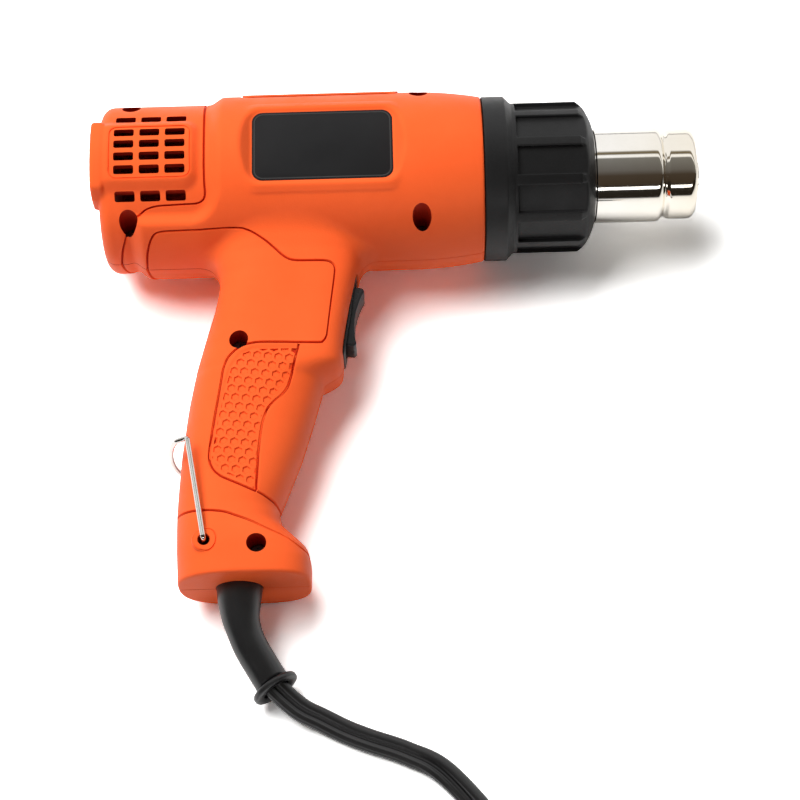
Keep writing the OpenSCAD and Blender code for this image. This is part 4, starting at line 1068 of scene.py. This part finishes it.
for a in np.radians(np.linspace(64, 0, 12)):
    half_wire.append(leg_top * (1, 1, 0) + BOW * math.cos(a) ** 0.8 * bow_dir + (0, 0, LEG_Z * math.sin(a)))
half_wire = np.array(half_wire)
wire_line = smooth_line(np.vstack([half_wire, half_wire[-2::-1] * (1, 1, -1)]), 3)
stand = tube("stand", wire_line, np.full(len(wire_line), WIRE_R), headings(wire_line), 20)
finish_piece(stand, "stand", "stand_steel", "stand_wire", angle=60)

# %% [markdown]
# ## Cord sleeve
# A rubber sleeve keeps the cord from kinking where it leaves the handle. It
# tapers, hangs in a bend under its own weight, and ends in a thick lip.

# %% Sweep the sleeve
out_dir = np.array((0, -math.cos(TILT), -math.sin(TILT)))
sleeve_points = [exit_mm - 8 * out_dir, exit_mm - 4 * out_dir, exit_mm]
for dx, dy, f in ((0, -6, 0.06), (0.8, -13, 0.18), (3.6, -21, 0.4)):
    sleeve_points.append(exit_mm + (dx, dy, (TIP_Z - exit_mm[2]) * f))
lip_dir = unit(sleeve_dir + (0, 0, 0.27))
sleeve_points += [sleeve_tip - BORE_DEEP * sleeve_dir, sleeve_tip - 5.2 * sleeve_dir]
body_line = smooth_line(sleeve_points, 10)
along = np.concatenate([[0], np.cumsum(np.linalg.norm(np.diff(body_line, axis=0), axis=1))])
WIDE_R, SLIM_R = 8.75, 6.5
taper = WIDE_R + (SLIM_R - WIDE_R) * ease((along - 6) / (0.62 * along[-1] - 6))
lip = [(-2.75, 6.6), (-2.5, 7.4), (-2.35, 8.4), (-2.1, 8.95), (-1.7, 9.2), (-0.6, 9.2),
       (-0.2, 9.0), (0, 8.6), (0, 5.9), (-0.4, 5.4), (-BORE_DEEP, 5.3)]
sleeve_line = np.vstack([body_line] + [sleeve_tip + d * lip_dir for d, r in lip])
sleeve_radii = np.concatenate([taper, [r for d, r in lip]])
t = np.vstack([headings(body_line), np.tile(lip_dir, (len(lip), 1))])
sleeve = tube("sleeve", sleeve_line, sleeve_radii, t, 48)
finish_piece(sleeve, "gun", "sleeve_rubber", "cord_sleeve", angle=50, place=TO_METRES)
print("sleeve", round(along[-1], 1), "mm long")

# %% [markdown]
# ## Plug and cable tie
# The far end is a moulded two-blade plug, soft-edged and waisted towards the
# cord. A flat tie keeps the hank together. Both are out of the picture, but
# the part is whole.

# %% Mould the plug and loop the tie
plug_way = Matrix.Rotation(math.atan2(hank_dir[1], hank_dir[0]), 4, "Z")
plug_turn = Matrix.Translation(Vector(plug_back / 1000)) @ plug_way @ TO_METRES
PLUG_ROWS = [  # x, width, height, corner
    (0, 11.4, 7.4, 2.8), (0.6, 12.6, 8.6, 3), (4, 13.4, 9, 3.2), (9, 16.4, 10.4, 3.6),
    (14, 21.6, 12.6, 4), (18, 25, 14.4, 4), (21, 26, 15, 4), (32, 26, 15, 4),
    (33.2, 25.4, 14.4, 3.7), (33.8, 24.4, 13.4, 3.3), (34, 23, 12, 2.8),
]
rings = [[(x, a, b) for a, b in corner_box(w, h, r, 6)] for x, w, h, r in PLUG_ROWS]
plug = solid("plug", [p for ring in rings for p in ring], ring_faces(len(rings), len(rings[0])))
for i in range(1, 4):
    notch = prism(corner_box(1.1, 30, 0.3), -20, 20, Matrix.Translation((3.2 + 2.6 * i, 0, 0)))
    tool = solid("notch", *notch)
    cut(tool, solid("core", *prism(corner_box(14, 9.2 + 0.4 * i, 2.4), -1, 14, TO_X @ TO_Z)))
    cut(plug, tool)
finish_piece(plug, "gun", "plug_rubber", "plug_body", angle=40, place=plug_turn)

TIE_STEP = 20
under_tie = [hank_point(k) for k in range(TIE_STEP, HANK_STEPS + 1, PER_TURN)]
tie_radii = [np.linalg.norm((p - hank_mid)[:2]) for p in under_tie]
tie_mid = (max(tie_radii) + min(tie_radii)) / 2
tie_w = max(tie_radii) - min(tie_radii) + CORD_T + 1
tie_h = LAYER[1] + CORD_W / 2 + 0.3
tie_rise = (tie_h + 1) / 2 + 0.1
loop_out = shifted(corner_box(tie_w + 2, tie_h + 1, 3.2, 8), 0, tie_rise)
loop_in = shifted(corner_box(tie_w, tie_h - 1, 2.2, 8), 0, tie_rise)
stand_up = Matrix.Rotation(QUARTER, 4, "X")
tie = solid("tie", *prism(loop_out, -3.5, 3.5, stand_up))
cut(tie, solid("inside", *prism(loop_in, -6, 6, stand_up)))
soften(tie, 0.25, 2)
tie_angle = START - 2 * math.pi * TIE_STEP / PER_TURN
tie_turn = Matrix.Rotation(tie_angle, 4, "Z") @ Matrix.Translation((tie_mid, 0, 0))
tie_place = TO_METRES @ Matrix.Translation(Vector(hank_mid)) @ tie_turn
finish_piece(tie, "gun", "tie_plastic", "cord_tie", angle=40, place=tie_place)

# %% [markdown]
# ## Materials
# Each finish is a small node tree on the Principled shader. Moulded plastic is
# never one flat value: the mould leaves a fine grain, handling leaves patches
# that shine a little more, and the colour drifts by a few per cent. Grain is a
# bump of less than a tenth of a millimetre; forms are always real geometry.

# %% Node helpers
def new_material(name):
    mat = bpy.data.materials.new(name)
    mat.use_nodes = True
    nodes, links = mat.node_tree.nodes, mat.node_tree.links
    return mat, nodes, links, nodes["Principled BSDF"]


def add_node(nodes, kind, **values):
    """A node with constant values set straight on its sockets."""
    node = nodes.new(kind)
    for key, value in values.items():
        if key in node.inputs:
            node.inputs[key].default_value = value
        else:
            setattr(node, key, value)
    return node


def noise(nodes, links, coords, scale, detail=3.0, rough=0.55):
    node = add_node(nodes, "ShaderNodeTexNoise", Scale=scale, Detail=detail, Roughness=rough)
    links.new(coords, node.inputs["Vector"])
    return node.outputs["Fac"]


def between(nodes, links, value, low, high, start=0.3, end=0.7):
    """Map a 0-1 pattern to the range low-high."""
    node = add_node(nodes, "ShaderNodeMapRange")
    for key, v in (("From Min", start), ("From Max", end), ("To Min", low), ("To Max", high)):
        node.inputs[key].default_value = v
    links.new(value, node.inputs["Value"])
    return node.outputs["Result"]


def mix_colour(nodes, links, value, dark, light):
    node = nodes.new("ShaderNodeValToRGB")
    for stop, place, tone in zip(node.color_ramp.elements, (0.3, 0.7), (dark, light)):
        stop.position, stop.color = place, (*tone, 1)
    links.new(value, node.inputs["Fac"])
    return node.outputs["Color"]


def bump(nodes, links, height, strength, distance):
    node = add_node(nodes, "ShaderNodeBump", Strength=strength, Distance=distance)
    links.new(height, node.inputs["Height"])
    return node.outputs["Normal"]


print("node helpers ready")

# %% Moulded plastics and rubbers
def moulded(name, dark, light, gloss, grain_scale, grain, sheen=0.5):
    """Plastic with mould grain, handling patches and a slight drift of colour."""
    mat, nodes, links, shader = new_material(name)
    coords = add_node(nodes, "ShaderNodeTexCoord").outputs["Object"]
    drift = noise(nodes, links, coords, 28.0, 4.0)
    links.new(mix_colour(nodes, links, drift, dark, light), shader.inputs["Base Color"])
    patches = noise(nodes, links, coords, 65.0, 5.0, 0.6)
    links.new(between(nodes, links, patches, gloss[0], gloss[1]), shader.inputs["Roughness"])
    fine = noise(nodes, links, coords, grain_scale, 2.0)
    links.new(bump(nodes, links, fine, 0.35, grain), shader.inputs["Normal"])
    shader.inputs["Specular IOR Level"].default_value = sheen
    return mat


orange = moulded(
    "orange_nylon", (0.88, 0.112, 0.024), (0.93, 0.128, 0.03), (0.40, 0.54), 1500.0, 0.00016, 0.14
)
# painted shade: a darker, redder orange for faces deep in slots and wells, where little light gets in
orange_painted_shade = moulded(
    "orange_inside_painted_shade", (0.40, 0.020, 0.006), (0.46, 0.026, 0.008), (0.5, 0.6), 1500.0, 0.00012, 0.15
)
black = moulded(
    "black_collar_plastic", (0.009, 0.009, 0.0092), (0.015, 0.015, 0.0153), (0.36, 0.5), 1500.0, 0.00016, 0.3
)
switch_black = moulded(
    "switch_plastic", (0.010, 0.010, 0.0105), (0.017, 0.017, 0.0175), (0.24, 0.36), 3200.0, 0.00003, 0.28
)
label_grey = moulded(
    "label_film", (0.008, 0.008, 0.0085), (0.012, 0.012, 0.0125), (0.42, 0.5), 5200.0, 0.00002, 0.2
)
label_rim = moulded(
    "label_edge", (0.022, 0.022, 0.022), (0.03, 0.03, 0.03), (0.4, 0.5), 5200.0, 0.00002
)
cord_black = moulded(
    "cord_rubber", (0.010, 0.010, 0.0105), (0.017, 0.017, 0.0175), (0.26, 0.36), 3000.0, 0.00004, 0.6
)
sleeve_black = moulded(
    "sleeve_rubber", (0.009, 0.009, 0.0095), (0.015, 0.015, 0.0155), (0.26, 0.38), 2200.0, 0.00005, 0.55
)
plug_black = moulded(
    "plug_rubber", (0.014, 0.014, 0.015), (0.023, 0.023, 0.024), (0.4, 0.52), 2200.0, 0.00007
)
tie_black = moulded(
    "tie_plastic", (0.02, 0.02, 0.021), (0.03, 0.03, 0.032), (0.3, 0.4), 2800.0, 0.00004
)
board_green = moulded(
    "circuit_board", (0.02, 0.075, 0.03), (0.035, 0.11, 0.045), (0.3, 0.42), 3000.0, 0.00004
)
mica_tan = moulded(
    "mica_sheet", (0.4, 0.31, 0.19), (0.6, 0.5, 0.34), (0.3, 0.5), 900.0, 0.00008
)
print("plastics:", orange.name, black.name, cord_black.name)

# %% [markdown]
# Metals are all reflection. What tells polished tube from drawn wire is how the
# highlight is smeared: fine scratches run round a spun tube, along a drawn
# wire, and every which way on a plated screw. The nozzle also takes a faint
# straw tint towards its tip from the heat.

# %% Metals
def metal(name, dark, light, gloss, stretch, scale, grain):
    """Metal with fine scratches stretched along the way it was worked."""
    mat, nodes, links, shader = new_material(name)
    coords = add_node(nodes, "ShaderNodeTexCoord").outputs["Object"]
    move = add_node(nodes, "ShaderNodeMapping")
    move.inputs["Scale"].default_value = stretch
    links.new(coords, move.inputs["Vector"])
    marks = noise(nodes, links, move.outputs["Vector"], scale, 4.0, 0.65)
    cloud = noise(nodes, links, coords, 90.0, 3.0)
    links.new(mix_colour(nodes, links, cloud, dark, light), shader.inputs["Base Color"])
    links.new(between(nodes, links, marks, gloss[0], gloss[1]), shader.inputs["Roughness"])
    links.new(bump(nodes, links, marks, 0.25, grain), shader.inputs["Normal"])
    shader.inputs["Metallic"].default_value = 1.0
    return mat


nozzle_steel = metal(
    "polished_nozzle", (0.88, 0.85, 0.79), (0.94, 0.91, 0.86), (0.035, 0.09), (6.0, 1.0, 1.0), 420.0, 0.000006
)
wire_steel = metal(
    "stand_wire", (0.66, 0.65, 0.62), (0.80, 0.79, 0.76), (0.08, 0.16), (1.0, 1.0, 1.0), 900.0, 0.00001
)
screw_steel = metal(
    "screw_steel", (0.14, 0.14, 0.145), (0.22, 0.22, 0.225), (0.25, 0.42), (1.0, 1.0, 1.0), 1200.0, 0.00003
)
motor_steel = metal(
    "motor_steel", (0.42, 0.42, 0.43), (0.55, 0.55, 0.56), (0.24, 0.4), (1.0, 4.0, 4.0), 500.0, 0.00003
)
heater_wire = metal(
    "heating_wire", (0.28, 0.25, 0.23), (0.45, 0.41, 0.37), (0.3, 0.5), (1.0, 1.0, 1.0), 900.0, 0.00003
)
brass = metal(
    "brass", (0.72, 0.5, 0.2), (0.82, 0.6, 0.28), (0.18, 0.32), (1.0, 1.0, 1.0), 700.0, 0.00002
)

straw = nozzle_steel.node_tree
position = add_node(straw.nodes, "ShaderNodeSeparateXYZ")
straw.links.new(add_node(straw.nodes, "ShaderNodeTexCoord").outputs["Object"], position.inputs["Vector"])
heat = between(straw.nodes, straw.links, position.outputs["X"], 0.0, 0.55, 0.085, 0.125)
tint = add_node(straw.nodes, "ShaderNodeMix", data_type="RGBA")
colour_in = straw.nodes["Principled BSDF"].inputs["Base Color"]
straw.links.new(heat, tint.inputs[0])
straw.links.new(colour_in.links[0].from_socket, tint.inputs[6])
tint.inputs[7].default_value = (0.90, 0.80, 0.62, 1)
straw.links.new(tint.outputs[2], colour_in)
print("metals:", nozzle_steel.name, wire_steel.name, brass.name)

# %% [markdown]
# ## Giving every piece its finish
# Pieces made above get their finish one by one, and the deep faces of the shells a
# darker orange, painted shade, as little light comes back out of a slot. The CAD
# pieces inside the gun, which show through the slots, get theirs by what they are.

# %% Assign
def wear(obj, mat):
    obj.data.materials.clear()
    obj.data.materials.append(mat)


WORN = (
    (shell_right, orange), (shell_left, orange), (collar, black), (nozzle, nozzle_steel),
    (guard, nozzle_steel), (flange, switch_black), (rocker, switch_black), (stand, wire_steel),
    (sleeve, sleeve_black), (cord, cord_black), (plug, plug_black), (tie, tie_black),
    (label, label_grey), (edge_line, label_rim),
)
for obj, mat in WORN:
    wear(obj, mat)
# the deep faces take the darker orange: painted shade
for shell in (shell_right, shell_left):
    shell.data.materials.append(orange_painted_shade)
    shell.data.polygons.foreach_set("material_index", painted_shade_faces[shell.name])
INSIDE = {
    "housing_screws": screw_steel, "clamp_screws": screw_steel, "mica_sleeve": mica_tan,
    "heater_former": mica_tan, "heater_coil": heater_wire, "thermal_cutout": motor_steel,
    "motor_mount": black, "motor_can": motor_steel, "motor_end_cap": black,
    "motor_bushes": brass, "motor_armature": motor_steel, "motor_shaft": screw_steel,
    "fan_impeller": black, "rectifier_board": board_green, "switch_pin": screw_steel,
    "switch_terminals": brass, "cord_clamp": black, "cord_tail": cord_black,
    "plug_blades": brass,
}
for node, mat in INSIDE.items():
    wear(bpy.data.objects[node], mat)
print(len(INSIDE), "CAD pieces dressed")

# %% [markdown]
# ## Table and light
# The picture is a bright product shot: a white table that runs out of the
# picture, one big soft lamp, and a pale room that fills the shadows. The table
# is meant to read as pure white, so its colour is lifted for the rays that show
# it, a lot to the camera and a little in steel, and stays plain for the light
# that it throws on the gun. The shadow is kept.

# %% Table
LIFT, STEEL_LIFT = 2.0, 1.06


def larger(nodes, links, first, second):
    """The larger of two values."""
    node = add_node(nodes, "ShaderNodeMath", operation="MAXIMUM")
    links.new(first, node.inputs[0])
    links.new(second, node.inputs[1])
    return node.outputs[0]


def ray_kinds(nodes, links):
    """1 for rays from the camera, and 1 for rays by way of steel or glass."""
    kind = add_node(nodes, "ShaderNodeLightPath").outputs
    return kind["Is Camera Ray"], larger(nodes, links, kind["Is Glossy Ray"], kind["Is Transmission Ray"])


bpy.ops.mesh.primitive_plane_add(size=8, location=(0, 0, 0))
table = bpy.context.object
table.name = "table"
white, nodes, links, shader = new_material("white_table")
coords = add_node(nodes, "ShaderNodeTexCoord").outputs["Object"]
paper = mix_colour(nodes, links, noise(nodes, links, coords, 9.0), (0.93, 0.93, 0.925), (0.94, 0.94, 0.937))
seen, mirrored = ray_kinds(nodes, links)
to_camera = between(nodes, links, seen, 1.0, LIFT, 0.0, 1.0)
in_steel = between(nodes, links, mirrored, 1.0, STEEL_LIFT, 0.0, 1.0)
lift = add_node(nodes, "ShaderNodeVectorMath", operation="SCALE")
links.new(paper, lift.inputs[0])
links.new(larger(nodes, links, to_camera, in_steel), lift.inputs["Scale"])
matt = add_node(nodes, "ShaderNodeBsdfDiffuse")
links.new(lift.outputs[0], matt.inputs["Color"])
links.new(matt.outputs[0], nodes["Material Output"].inputs["Surface"])
nodes.remove(shader)
wear(table, white)
print("table", table.dimensions[:])

# %% [markdown]
# Polished steel only looks like steel if it has something to show. The room is
# white behind the gun and dark in front and overhead, with one thin bright strip
# across the dark, like a lamp in a ceiling. It draws a fine line along the
# nozzle. To the camera itself the room is plain white.

# %% Room
ROOM = 0.28
ROOM_TONES = (  # from in front of the gun, over the top, to behind it
    (0.15, (0.02, 0.016, 0.012)), (0.2, (0.05, 0.036, 0.024)), (0.31, (0.06, 0.045, 0.032)),
    (0.38, (0.13, 0.12, 0.11)), (0.55, (0.2, 0.195, 0.18)), (0.565, (1, 1, 1)), (0.595, (1, 1, 1)),
    (0.61, (0.16, 0.13, 0.08)), (0.64, (0.2, 0.17, 0.12)), (0.665, (1, 1, 1)),
)
room = bpy.data.worlds.new("white_room")
bpy.context.scene.world = room
room.use_nodes = True
nodes, links = room.node_tree.nodes, room.node_tree.links
way = add_node(nodes, "ShaderNodeTexCoord").outputs["Generated"]
barrel_axis = (LAY.to_3x3() @ Vector((1, 0, 0))).normalized()
front_axis = barrel_axis.cross(Vector((0, 0, 1))).normalized()
turn = add_node(nodes, "ShaderNodeMath", operation="ARCTAN2")
for i, axis in enumerate((front_axis.cross(barrel_axis), front_axis)):
    toward = add_node(nodes, "ShaderNodeVectorMath", operation="DOT_PRODUCT")
    links.new(way, toward.inputs[0])
    toward.inputs[1].default_value = axis
    links.new(toward.outputs["Value"], turn.inputs[i])
patch = add_node(nodes, "ShaderNodeValToRGB")
stops = patch.color_ramp.elements
stops.remove(stops[1])
stops[0].position, stops[0].color = 0.0, (*ROOM_TONES[0][1], 1)
for place, tone in ROOM_TONES:
    stops.new(place).color = (*tone, 1)
links.new(between(nodes, links, turn.outputs[0], 0.0, 1.0, 0.0, np.pi), patch.inputs["Fac"])
seen, mirrored = ray_kinds(nodes, links)
behind = add_node(nodes, "ShaderNodeMix", data_type="RGBA")
links.new(seen, behind.inputs[0])
links.new(patch.outputs["Color"], behind.inputs[6])
behind.inputs[7].default_value = (1, 1, 1, 1)
links.new(behind.outputs[2], nodes["Background"].inputs["Color"])
strength = between(nodes, links, larger(nodes, links, mirrored, seen), ROOM, 1.0, 0.0, 1.0)
links.new(strength, nodes["Background"].inputs["Strength"])
print("room lights at", ROOM, "and shows white at 1")

# %% [markdown]
# The main lamp is a large soft panel, high up, to the left and behind the
# barrel. It gives the up-facing plastic its light and leaves a soft shadow to
# the right. A low strip in front adds a thin line of shine to the black parts.

# %% Lamps
KEY, FILL = 21.0, 1.2


def add_lamp(name, power, at, wide, high):
    """A rectangle of light that faces the gun."""
    lamp = link_new(name, bpy.data.lights.new(name, "AREA"))
    lamp.data.shape, lamp.data.size, lamp.data.size_y = "RECTANGLE", wide, high
    lamp.data.energy, lamp.location = power, at
    lamp.rotation_euler = (-lamp.location).to_track_quat("-Z", "Y").to_euler()
    return lamp


key = add_lamp("key", KEY, (-0.42, 0.3, 1.1), 1.0, 0.8)
key.visible_glossy = False
add_lamp("strip", FILL, (0.05, -0.78, 0.42), 1.1, 0.1)
bpy.context.scene.view_settings.view_transform = "Standard"
print("lamps", KEY, "W above and", FILL, "W in front")
